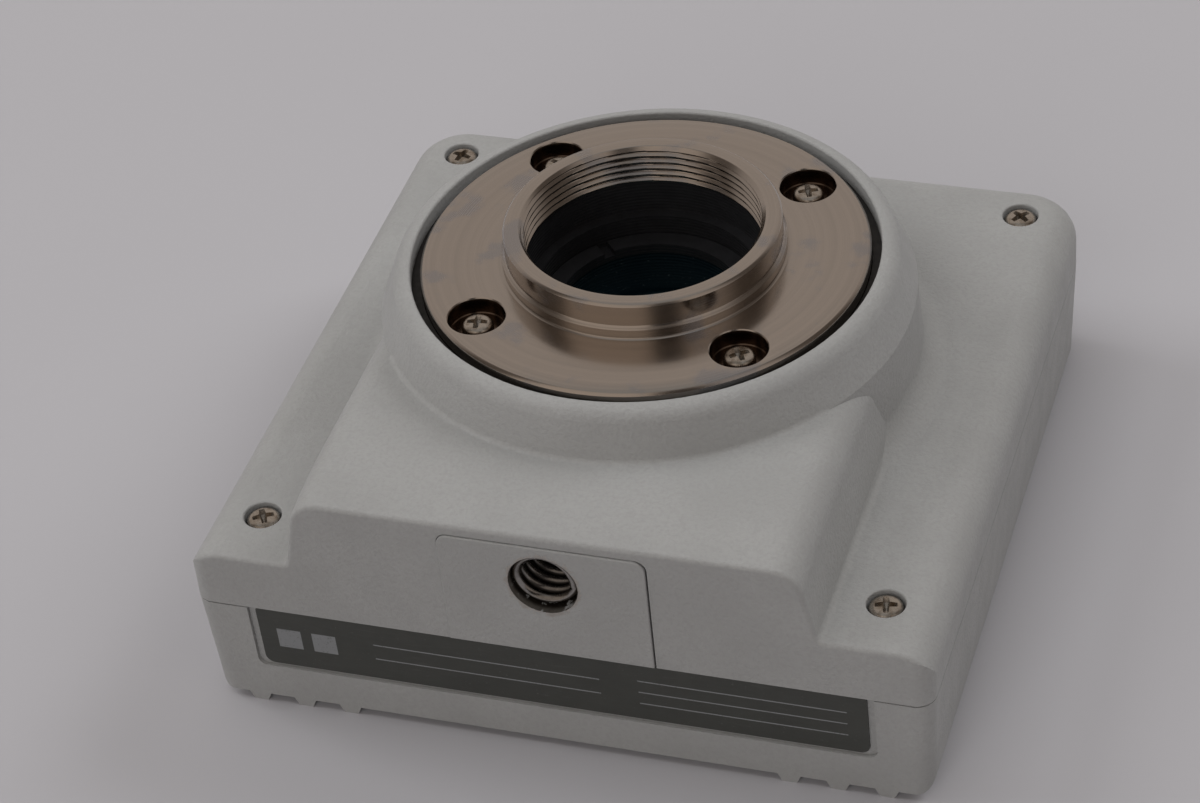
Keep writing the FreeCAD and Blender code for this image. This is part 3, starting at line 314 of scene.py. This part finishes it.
def plain_metal(name, colour, roughness, grain=0.25 * MM, tarnish=None, shade_reach=0.0):
    """Plated or formed metal with light wear; tarnish darkens it in patches, and painted shade darkens its
    recesses.
    """
    shader = Shader(name)
    patches = shader.noise(grain * 4, 4.0, 0.6)
    dull = tarnish or tuple(channel * 0.72 for channel in colour)
    body = shader.blend(shader.span(patches, 0.42, 0.68, 0.0, 0.8), colour, dull)
    rough = shader.span(shader.noise(grain, 3.0), 0.3, 0.7, roughness * 0.8, roughness * 1.25)
    if shade_reach:
        # Painted shade: where ambient occlusion finds near surfaces, in the recesses, the colour turns
        # nearly black and less metallic.
        occlusion = shader.nodes.new("ShaderNodeAmbientOcclusion")
        occlusion.samples = 8
        occlusion.inputs["Distance"].default_value = shade_reach
        recess_shade = shader.span(occlusion.outputs["AO"], 0.35, 0.85, 0.92, 0.0)
        body = shader.blend(recess_shade, body, (0.030, 0.020, 0.013))
        shader.set(Metallic=shader.math("SUBTRACT", 1.0, shader.math("MULTIPLY", recess_shade, 0.8)))
    else:
        shader.set(Metallic=1.0)
    shader.set(Base_Color=body, Roughness=rough)
    shader.bump((shader.noise(grain * 0.5, 3.0), 0.004 * MM, 0.5))
    return shader.material


def plain_plastic(name, colour, roughness, grain=0.3 * MM, bump=0.008 * MM):
    """Moulded plastic, rubber or ceramic with its fine surface grain and a little dust."""
    shader = Shader(name)
    patches = shader.noise(grain * 8, 3.0)
    dust = shader.span(shader.noise(grain * 1.5, 4.0, 0.7), 0.60, 0.78, 0.0, 0.35)
    body = shader.blend(patches, tuple(channel * 0.8 for channel in colour), colour)
    body = shader.blend(dust, body, tuple(0.5 * channel + 0.10 for channel in colour))
    rough = shader.span(shader.noise(grain * 3, 3.0), 0.3, 0.7, roughness * 0.85, roughness * 1.15)
    shader.set(Base_Color=body, Roughness=rough)
    shader.bump((shader.noise(grain, 3.0), bump, 0.6))
    return shader.material


def label_film():
    """Dark grey film: satin, with pale blank fields, rubbed streaks, fine grain and specks of dust."""
    shader = Shader("label_film")
    x, _, z = shader.axes()
    streak_place = shader.nodes.new("ShaderNodeMapping")
    streak_place.inputs["Scale"].default_value = (0.12, 1.0, 1.0)
    shader.put(streak_place.inputs["Vector"], shader.place)
    streaks = shader.noise(0.5 * MM, 3.0, 0.65, streak_place.outputs[0])
    mottle = shader.noise(2.5 * MM, 4.0)
    body = shader.blend(mottle, (0.034, 0.036, 0.032), (0.047, 0.049, 0.043))
    rubbed = shader.span(streaks, 0.55, 0.75, 0.0, 0.28)
    body = shader.blend(rubbed, body, (0.085, 0.087, 0.082))
    body = shader.blend(label_print(shader, x, z), body, LABEL_PRINT_COLOUR)
    dust = shader.span(shader.noise(0.35 * MM, 3.0, 0.7), 0.64, 0.74, 0.0, 0.4)
    body = shader.blend(dust, body, (0.16, 0.16, 0.15))
    shader.set(Base_Color=body, Roughness=shader.span(streaks, 0.3, 0.7, 0.36, 0.5))
    shader.bump((shader.noise(0.12 * MM, 2.0), 0.003 * MM, 0.5))
    return shader.material


def label_print(shader, x, z):
    """Where the label is printed pale: blank ruled fields and two plain squares, with no lettering."""
    def between(value, low, high):
        above = shader.math("GREATER_THAN", value, low)
        return shader.math("MULTIPLY", above, shader.math("LESS_THAN", value, high))

    def patch(x_range, z_range):
        return shader.math("MULTIPLY", between(x, *x_range), between(z, *z_range))

    patches = [
        patch((start * MM, end * MM), (low * MM, high * MM))
        for start, end, low, high in LABEL_PRINT
    ]
    printed = patches[0]
    for other in patches[1:]:
        printed = shader.math("MAXIMUM", printed, other)
    worn = shader.span(shader.noise(0.3 * MM, 3.0, 0.7), 0.30, 0.45, 0.45, 0.9)
    return shader.math("MULTIPLY", printed, worn)


def light_trap():
    """Black anodised tube with fine anti-reflection grooves, ring above ring."""
    shader = Shader("black_anodised")
    groove_width = 0.2 * MM
    grooves = shader.math("PINGPONG", shader.axes()[2], groove_width)
    body = shader.blend(shader.noise(1.2 * MM, 3.0), (0.010, 0.010, 0.011), (0.022, 0.022, 0.024))
    rough = shader.span(shader.noise(0.4 * MM, 3.0), 0.3, 0.7, 0.33, 0.48)
    shader.set(Base_Color=body, Roughness=rough)
    shader.bump((shader.math("MULTIPLY", grooves, 1 / groove_width), 0.06 * MM, 0.7))
    return shader.material


def coated_glass(name, tint, coat_tint):
    """Dark coated optical glass, with a faint coloured sheen from its coating and traces of dust."""
    shader = Shader(name)
    dust = shader.span(shader.noise(0.5 * MM, 4.0, 0.75), 0.62, 0.72, 0.0, 0.25)
    clouds = shader.noise(6 * MM, 2.0)
    body = shader.blend(clouds, tint, tuple(channel * 1.5 for channel in tint))
    shader.set(Base_Color=shader.blend(dust, body, (0.12, 0.13, 0.13)))
    shader.set(Roughness=shader.span(dust, 0.0, 0.3, 0.04, 0.3))
    shader.set(Specular_IOR_Level=0.8, Specular_Tint=(*coat_tint, 1.0), IOR=1.65)
    shader.bump((shader.noise(0.5 * MM, 3.0), 0.0006 * MM, 0.3))
    return shader.material


def board_laminate():
    """Green solder mask over a faint copper pattern."""
    shader = Shader("board_laminate")
    distance, _ = shader.cells(1.6 * MM, 0.35)
    tracks = shader.span(distance, 0.30, 0.36, 0.0, 1.0)
    body = shader.blend(tracks, (0.010, 0.085, 0.036), (0.006, 0.052, 0.022))
    shader.set(Base_Color=body, Roughness=shader.span(shader.noise(0.5 * MM), 0.3, 0.7, 0.25, 0.4))
    shader.bump((tracks, 0.02 * MM, 0.6))
    return shader.material


PAINT_COLOUR = (0.354, 0.357, 0.355)

MATERIALS = {
    "shell_paint": lambda: paint("shell_paint", PAINT_COLOUR),
    "block_paint": lambda: paint("block_paint", tuple(0.99 * c for c in PAINT_COLOUR), with_chips=True),
    "mount_steel": turned_steel,
    # The last number given to screw_nickel and insert_steel is how far painted shade reaches into their
    # recesses.
    "screw_nickel": lambda: plain_metal(
        "screw_nickel", (0.60, 0.55, 0.49), 0.27, 0.2 * MM, (0.33, 0.27, 0.21), 0.45 * MM),
    "insert_steel": lambda: plain_metal(
        "insert_steel", (0.30, 0.285, 0.27), 0.22, 0.15 * MM, None, 1.4 * MM),
    "black_rubber": lambda: plain_plastic("black_rubber", (0.016, 0.015, 0.014), 0.55),
    "label_film": label_film,
    "black_anodised": light_trap,
    "filter_glass": lambda: coated_glass("filter_glass", (0.0008, 0.003, 0.0045), (0.45, 0.85, 0.95)),
    "sensor_glass": lambda: coated_glass("sensor_glass", (0.010, 0.014, 0.020), (0.7, 0.9, 1.0)),
    "package_ceramic": lambda: plain_plastic("package_ceramic", (0.10, 0.09, 0.085), 0.5),
    "sensor_silicon": lambda: plain_metal("sensor_silicon", (0.14, 0.17, 0.22), 0.2, 0.2 * MM),
    "gold_contact": lambda: plain_metal("gold_contact", (0.85, 0.60, 0.22), 0.25, 0.15 * MM),
    "board_laminate": board_laminate,
    "chip_plastic": lambda: plain_plastic("chip_plastic", (0.022, 0.022, 0.023), 0.5, 0.2 * MM),
    "connector_plastic": lambda: plain_plastic("connector_plastic", (0.030, 0.030, 0.032), 0.42, 0.25 * MM),
    "pad_silicone": lambda: plain_plastic("pad_silicone", (0.30, 0.38, 0.47), 0.7, 0.4 * MM),
    "tinned_metal": lambda: plain_metal("tinned_metal", (0.60, 0.60, 0.59), 0.3, 0.5 * MM),
    "capacitor_can": lambda: plain_metal("capacitor_can", (0.70, 0.70, 0.70), 0.28, 0.3 * MM),
    "connector_metal": lambda: plain_metal("connector_metal", (0.62, 0.61, 0.59), 0.28, 0.35 * MM),
}
_made = {}


def finish_named(name):
    if name not in _made:
        _made[name] = MATERIALS[name]()
    return _made[name]


# ---- mesh helpers ----

def new_piece(name, bm, finish, replaced=(), smooth_angle=40.0):
    """Object from a bmesh, smooth where its faces meet gently, that rides with the camera body."""
    bmesh.ops.recalc_face_normals(bm, faces=bm.faces)
    mesh = bpy.data.meshes.new(name)
    bm.to_mesh(mesh)
    bm.free()
    piece = bpy.data.objects.new(name, mesh)
    bpy.context.scene.collection.objects.link(piece)
    smooth(mesh, smooth_angle)
    if finish:
        mesh.materials.append(finish_named(finish))
        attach(piece, "root")
        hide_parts(*replaced)
    return piece


def smooth(mesh, angle):
    mesh.shade_smooth()
    mesh.set_sharp_from_angle(angle=math.radians(angle))


def ring_of(bm, radius_at, z_at, steps):
    """One closed row of vertices about the Z axis."""
    row = []
    for step in range(steps):
        turn = 2 * math.pi * step / steps
        radius = radius_at(turn)
        row.append(bm.verts.new((radius * math.cos(turn), radius * math.sin(turn), z_at(turn))))
    return row


def join_rows(bm, rows, closed=False):
    """Quads between following rows; a closed set also joins the last row to the first."""
    pairs = list(zip(rows, rows[1:] + rows[:1])) if closed else list(zip(rows, rows[1:]))
    for low, high in pairs:
        count = len(low)
        for step in range(count):
            after = (step + 1) % count
            bm.faces.new((low[step], low[after], high[after], high[step]))


def lathe(profile, steps, centre=(0.0, 0.0)):
    """Solid of revolution from (radius, z) points, from the bottom to the top."""
    bm = bmesh.new()
    rows = [ring_of(bm, lambda turn, r=r: r, lambda turn, z=z: z, steps) for r, z in profile]
    join_rows(bm, rows)
    bm.faces.new(rows[0])
    bm.faces.new(rows[-1])
    bmesh.ops.translate(bm, verts=bm.verts, vec=(centre[0], centre[1], 0.0))
    return bm


def cut(piece, cutters):
    """Cut the cutter objects out of a piece, and remove them."""
    for cutter in cutters:
        change = piece.modifiers.new("cut", "BOOLEAN")
        change.operation = "DIFFERENCE"
        change.solver = "EXACT"
        change.object = cutter
    graph = bpy.context.evaluated_depsgraph_get()
    mesh = bpy.data.meshes.new_from_object(piece.evaluated_get(graph))
    piece.modifiers.clear()
    old = piece.data
    piece.data = mesh
    bpy.data.meshes.remove(old)
    for cutter in cutters:
        bpy.data.objects.remove(cutter)
    mesh.name = piece.name


def tool(name, bm):
    """Cutter, which is removed once it has been used."""
    return new_piece(name, bm, None)


# ---- lens mount with its C-mount thread ----

def thread_radius(turn, z):
    """Radius of the lens thread's wall at a turn and height, with flat crests and roots."""
    phase = ((z - THREAD_PITCH * turn / (2 * math.pi)) / THREAD_PITCH) % 1.0
    wave = abs(phase - 0.5) * 2.0
    part_way = (wave - THREAD_CREST_SHARE) / (THREAD_ROOT_SHARE - THREAD_CREST_SHARE)
    part_way = min(max(part_way, 0.0), 1.0)
    return THREAD_MINOR_RADIUS + (THREAD_MAJOR_RADIUS - THREAD_MINOR_RADIUS) * part_way


def mount_wall_radius(turn, z):
    """The thread's wall, opened out by the mouth chamfer at the top."""
    mouth = THREAD_MOUTH_RADIUS - (COLLAR_Z - z)
    radius = thread_radius(turn, z)
    return max(radius, mouth) if z > COLLAR_Z - MOUTH_CHAMFER_DEPTH else radius


def circle_centre(angle_deg):
    """Centre of the flange screw at an angle."""
    turn = math.radians(angle_deg)
    return (SCREW_CIRCLE_RADIUS * math.cos(turn), SCREW_CIRCLE_RADIUS * math.sin(turn))


def counterbore(centre):
    """Cutter for a flange screw's hole and its wider counterbore, with an eased edge."""
    floor_z = FLANGE_Z - COUNTERBORE_DEPTH
    profile = [
        (SCREW_HOLE_RADIUS, SEAT_Z - 1 * MM),
        (SCREW_HOLE_RADIUS, floor_z),
        (COUNTERBORE_RADIUS - 0.1 * MM, floor_z),
        (COUNTERBORE_RADIUS, floor_z + 0.1 * MM),
        (COUNTERBORE_RADIUS, FLANGE_Z - 0.10 * MM),
        (COUNTERBORE_RADIUS + 0.13 * MM, FLANGE_Z + 0.03 * MM),
        (COUNTERBORE_RADIUS + 0.13 * MM, FLANGE_Z + 1 * MM),
    ]
    return tool("counterbore", lathe(profile, 72, centre))


def lens_mount():
    """Flange and collar in one, closed round its section by the threaded bore."""
    outer = [
        (RELIEF_RADIUS, SEAT_Z),
        (FLANGE_RADIUS - RIM_CHAMFER, SEAT_Z),
        (FLANGE_RADIUS, SEAT_Z + RIM_CHAMFER),
        (FLANGE_RADIUS, FLANGE_Z - RIM_CHAMFER),
        (FLANGE_RADIUS - 0.05 * MM, FLANGE_Z - 0.26 * MM),
        (FLANGE_RADIUS - 0.30 * MM, FLANGE_Z - 0.03 * MM),
        (FLANGE_RADIUS - 0.36 * MM, FLANGE_Z),
        (20.0 * MM, FLANGE_Z),
        (16.0 * MM, FLANGE_Z),
        (COLLAR_FOOT_RADIUS, FLANGE_Z),
        (COLLAR_LOWER_RADIUS + 0.09 * MM, FLANGE_Z + 0.07 * MM),
        (COLLAR_LOWER_RADIUS, FLANGE_Z + 0.17 * MM),
        (COLLAR_LOWER_RADIUS, FLANGE_Z + 1.10 * MM),
        (COLLAR_LOWER_RADIUS - 0.05 * MM, FLANGE_Z + 1.16 * MM),
        (COLLAR_UPPER_RADIUS + 0.04 * MM, FLANGE_Z + 1.38 * MM),
        (COLLAR_UPPER_RADIUS, FLANGE_Z + 1.44 * MM),
        (COLLAR_UPPER_RADIUS, FLANGE_Z + 3.70 * MM),
        (COLLAR_UPPER_RADIUS - 0.04 * MM, FLANGE_Z + 3.76 * MM),
        (COLLAR_TOP_RADIUS + 0.06 * MM, COLLAR_Z - 0.03 * MM),
        (COLLAR_TOP_RADIUS, COLLAR_Z),
        (THREAD_MOUTH_RADIUS + 0.03 * MM, COLLAR_Z),
    ]
    bm = bmesh.new()
    rows = [ring_of(bm, lambda turn, r=r: r, lambda turn, z=z: z, MOUNT_STEPS) for r, z in outer]
    top = COLLAR_Z - 0.02 * MM
    for index in range(THREAD_ROWS + 1):
        z = top - (top - THREAD_BOTTOM_Z) * index / THREAD_ROWS
        row = ring_of(bm, lambda turn, z=z: mount_wall_radius(turn, z), lambda turn, z=z: z, MOUNT_STEPS)
        rows.append(row)
    rows.append(ring_of(bm, lambda turn: RELIEF_RADIUS, lambda turn: THREAD_BOTTOM_Z, MOUNT_STEPS))
    join_rows(bm, rows, closed=True)
    mount = new_piece("lens_mount", bm, "mount_steel", ["lens_mount_flange"])
    cut(mount, [counterbore(circle_centre(angle)) for angle in SCREW_ANGLES])
    smooth(mount.data, 28.0)


# ---- screws ----

def cross_recess(radius, top_z, depth):
    """Tapered cross-shaped cutter, wide at the head's face and small at the bottom."""
    waist = 0.30
    outline = []
    for quarter in range(4):
        turn = quarter * math.pi / 2
        for along, across in ((waist, -waist), (1.0, -0.24), (1.0, 0.24)):
            outline.append((along * math.cos(turn) - across * math.sin(turn),
                            along * math.sin(turn) + across * math.cos(turn)))
    levels = [(0.20, top_z - depth), (0.74, top_z - 0.62 * depth), (1.0, top_z), (1.14, top_z + depth)]
    bm = bmesh.new()
    rows = []
    for scale, z in levels:
        reach = radius * scale
        rows.append([bm.verts.new((reach * u, reach * v, z)) for u, v in outline])
    join_rows(bm, rows)
    bm.faces.new(rows[0])
    bm.faces.new(rows[-1])
    return bm


def screw(name, centre, seat_z, head_radius, head_height, turn_deg, shank_bottom_z):
    """Pan head cross-recess screw, head up, on its seat."""
    shoulder = head_height * 0.50
    profile = [(SHANK_RADIUS, shank_bottom_z), (SHANK_RADIUS, seat_z), (head_radius * 0.97, seat_z)]
    profile.append((head_radius, seat_z + 0.03 * MM))
    profile.append((head_radius, seat_z + shoulder))
    for step in range(1, 8):
        angle = math.radians(90.0 * step / 8)
        radius = head_radius * (0.62 + 0.38 * math.cos(angle))
        z = seat_z + shoulder + (head_height - shoulder) * 0.86 * math.sin(angle)
        profile.append((radius, z))
    crown = head_height - shoulder
    for share in (0.56, 0.40, 0.20, 0.04):
        z = seat_z + shoulder + crown * (0.86 + 0.14 * (1 - (share / 0.62) ** 2))
        profile.append((head_radius * share, z))
    bm = lathe(profile, 72)
    piece = new_piece(name, bm, "screw_nickel")
    top = seat_z + head_height
    cutter = tool("recess", cross_recess(head_radius * 0.66, top, head_height * 0.72))
    cut(piece, [cutter])
    smooth(piece.data, 32.0)
    turn = Matrix.Rotation(math.radians(turn_deg), 4, "Z")
    piece.data.transform(Matrix.Translation((centre[0], centre[1], 0.0)) @ turn)
    return piece


def flange_screws():
    seat = FLANGE_Z - COUNTERBORE_DEPTH
    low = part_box("flange_screws")[0]
    for index, angle in enumerate(SCREW_ANGLES):
        piece = screw(f"flange_screw_{index + 1}", circle_centre(angle), seat, FLANGE_SCREW_HEAD_RADIUS,
                      FLANGE_SCREW_HEAD_HEIGHT, FLANGE_SCREW_TURNS[index], low.z)
        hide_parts("flange_screws")


def case_screws():
    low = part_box("case_screws")[0]
    corners = [(x, y) for x in (-CASE_SCREW_X, CASE_SCREW_X) for y in (-CASE_SCREW_Y, CASE_SCREW_Y)]
    for index, centre in enumerate(corners):
        piece = screw(f"case_screw_{index + 1}", centre, CASE_SCREW_SEAT_Z, CASE_SCREW_HEAD_RADIUS,
                      CASE_SCREW_HEAD_HEIGHT, CASE_SCREW_TURNS[index], low.z)
        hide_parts("case_screws")


# ---- tripod socket's wire thread insert ----

def tripod_insert():
    """Coil of diamond-section wire that lines the tripod socket."""
    turns = (INSERT_HIGH.y - INSERT_LOW.y - INSERT_PITCH) / INSERT_PITCH
    steps = int(turns * COIL_STEPS_PER_TURN)
    middle = (INSERT_OUTER_RADIUS + INSERT_INNER_RADIUS) / 2
    reach = (INSERT_OUTER_RADIUS - INSERT_INNER_RADIUS) / 2
    half = INSERT_PITCH * 0.47
    section = [
        (-reach, -0.10 * half), (-reach, 0.10 * half), (-0.2 * reach, 0.80 * half),
        (0.2 * reach, 0.80 * half), (reach, 0.12 * half), (reach, -0.12 * half),
        (0.2 * reach, -0.80 * half), (-0.2 * reach, -0.80 * half),
    ]
    bm = bmesh.new()
    rows = []
    for step in range(steps + 1):
        turn = 2 * math.pi * turns * step / steps
        y = INSERT_LOW.y + 0.8 * half + INSERT_PITCH * turn / (2 * math.pi)
        row = []
        for out, along in section:
            radius = middle + out
            place = (radius * math.cos(turn), y + along, TRIPOD_Z + radius * math.sin(turn))
            row.append(bm.verts.new(place))
        rows.append(row)
    join_rows(bm, rows)
    bm.faces.new(rows[0])
    bm.faces.new(rows[-1])
    new_piece("tripod_thread_coil", bm, "insert_steel", ["tripod_insert"], 50.0)


# ---- finishes of the pieces carried over from the CAD model ----

def finish_cad_nodes():
    slots = {entry["node"]: entry["material_slot"] for entry in frame["record"]["subparts"]}
    for name, node in NODES.items():
        finish = "block_paint" if name == "tripod_block" else slots[name]
        node.data.materials.clear()
        node.data.materials.append(finish_named(finish))
        smooth(node.data, 24.0)


# ---- stage, light and view ----

def floor():
    bm = bmesh.new()
    corners = ((-1, -1), (1, -1), (1, 1), (-1, 1))
    bm.faces.new([bm.verts.new((x * FLOOR_REACH, y * FLOOR_REACH, 0.0)) for x, y in corners])
    mesh = bpy.data.meshes.new("floor")
    bm.to_mesh(mesh)
    bm.free()
    piece = bpy.data.objects.new("floor", mesh)
    bpy.context.scene.collection.objects.link(piece)
    shader = Shader("floor_paper")
    grain = shader.noise(0.5 * MM, 3.0)
    body = shader.blend(shader.noise(60 * MM, 2.0), (0.445, 0.44, 0.465), (0.46, 0.455, 0.48))
    shader.set(Base_Color=body, Roughness=shader.span(grain, 0.3, 0.7, 0.6, 0.7))
    shader.set(Specular_IOR_Level=0.2)
    mesh.materials.append(shader.material)


# The world round the object: degrees from +X, then the colour seen there. The steel mirrors these
# bands, which are an invented room and stay put as the view turns: warm walls with three dark gaps.
WARM_WALL = (0.40, 0.345, 0.30)
DIM_WALL = (0.30, 0.265, 0.24)
BACK_WALL = (0.37, 0.33, 0.30)
DARK_GAP = (0.075, 0.062, 0.052)
DARKEST_GAP = (0.030, 0.026, 0.024)
ROOM = (
    (-180.0, DIM_WALL), (-168.0, DARK_GAP), (-148.0, DARK_GAP), (-138.0, WARM_WALL),
    (-74.0, WARM_WALL), (-70.0, DARKEST_GAP), (-46.0, DARKEST_GAP), (-41.0, WARM_WALL), (-10.0, DIM_WALL),
    (8.0, DARK_GAP), (34.0, DARK_GAP), (48.0, DIM_WALL), (95.0, BACK_WALL), (150.0, BACK_WALL),
    (180.0, DIM_WALL),
)


def soft_room():
    """World light: the room's walls by direction, with an even ceiling and a dimmer ground below."""
    world = bpy.data.worlds.new("soft_room")
    bpy.context.scene.world = world
    world.use_nodes = True
    tree = world.node_tree
    nodes = tree.nodes
    nodes.clear()
    output = nodes.new("ShaderNodeOutputWorld")
    light = nodes.new("ShaderNodeBackground")
    tree.links.new(light.outputs[0], output.inputs["Surface"])
    axes = nodes.new("ShaderNodeSeparateXYZ")
    tree.links.new(nodes.new("ShaderNodeTexCoord").outputs["Generated"], axes.inputs[0])
    turn = nodes.new("ShaderNodeMath")
    turn.operation = "ARCTAN2"
    tree.links.new(axes.outputs["Y"], turn.inputs[0])
    tree.links.new(axes.outputs["X"], turn.inputs[1])
    share = nodes.new("ShaderNodeMapRange")
    share.inputs["From Min"].default_value = -math.pi
    share.inputs["From Max"].default_value = math.pi
    tree.links.new(turn.outputs[0], share.inputs["Value"])
    walls = nodes.new("ShaderNodeValToRGB")
    tree.links.new(share.outputs["Result"], walls.inputs[0])
    stops = walls.color_ramp.elements
    while len(stops) < len(ROOM):
        stops.new(1.0)
    for stop, (degrees, colour) in zip(stops, ROOM):
        stop.position = (degrees + 180.0) / 360.0
        stop.color = (*colour, 1.0)

    def over(value, low, high, below, above):
        """Blend from one colour to another between two heights of the direction."""
        span = nodes.new("ShaderNodeMapRange")
        span.interpolation_type = "SMOOTHSTEP"
        tree.links.new(value, span.inputs["Value"])
        span.inputs["From Min"].default_value = low
        span.inputs["From Max"].default_value = high
        mix = nodes.new("ShaderNodeMix")
        mix.data_type = "RGBA"
        tree.links.new(span.outputs["Result"], mix.inputs["Factor"])
        for socket, colour in zip((mix.inputs[6], mix.inputs[7]), (below, above)):
            if isinstance(colour, bpy.types.NodeSocket):
                tree.links.new(colour, socket)
            else:
                socket.default_value = (*colour, 1.0)
        return mix.outputs[2]

    height = axes.outputs["Z"]
    upper = over(height, 0.80, 0.95, walls.outputs[0], (0.26, 0.255, 0.25))
    tree.links.new(over(height, -0.25, 0.05, (0.16, 0.15, 0.145), upper), light.inputs["Color"])


def soft_light(name, azimuth_deg, elevation_deg, watts):
    """Square soft box at an azimuth from +X and an elevation; reflections don't show it."""
    data = bpy.data.lights.new(name, "AREA")
    data.shape = "SQUARE"
    data.size = LIGHT_SIZE
    data.energy = watts
    lamp = bpy.data.objects.new(name, data)
    bpy.context.scene.collection.objects.link(lamp)
    azimuth = math.radians(azimuth_deg)
    elevation = math.radians(elevation_deg)
    lamp.location = LIGHT_DISTANCE * Vector((
        math.cos(elevation) * math.cos(azimuth),
        math.cos(elevation) * math.sin(azimuth),
        math.sin(elevation),
    ))
    aim = Vector((0.0, 0.0, FLANGE_Z / 2)) - lamp.location
    lamp.rotation_euler = aim.to_track_quat("-Z", "Y").to_euler()
    lamp.visible_glossy = False


def lights():
    soft_room()
    for name, azimuth, elevation, watts in (
        ("window_right", 45.0, 40.0, 6.6),
        ("window_left", 180.0, 40.0, 5.4),
        ("room_front", 270.0, 30.0, 3.6),
        ("ceiling", 180.0, 78.0, 2.6),
    ):
        soft_light(name, azimuth, elevation, watts)


def camera():
    azimuth = math.radians(CAMERA_AZIMUTH)
    elevation = math.radians(CAMERA_ELEVATION)
    roll = math.radians(CAMERA_ROLL)
    back = Vector((
        math.sin(azimuth) * math.cos(elevation),
        -math.cos(azimuth) * math.cos(elevation),
        math.sin(elevation),
    ))
    level_right = Vector((math.cos(azimuth), math.sin(azimuth), 0.0))
    level_up = back.cross(level_right)
    right = level_right * math.cos(roll) + level_up * math.sin(roll)
    up = back.cross(right)
    data = bpy.data.cameras.new("camera")
    data.sensor_width = 36.0
    data.lens = CAMERA_LENS
    data.clip_start = 0.01
    data.dof.use_dof = False
    view = bpy.data.objects.new("camera", data)
    bpy.context.scene.collection.objects.link(view)
    turn = Matrix((right, up, back)).transposed().to_4x4()
    view.matrix_world = Matrix.Translation(CAMERA_AIM + back * CAMERA_DISTANCE) @ turn
    bpy.context.scene.camera = view


finish_cad_nodes()
lens_mount()
flange_screws()
case_screws()
tripod_insert()
floor()
lights()
camera()
bpy.context.scene.view_settings.view_transform = "Standard"
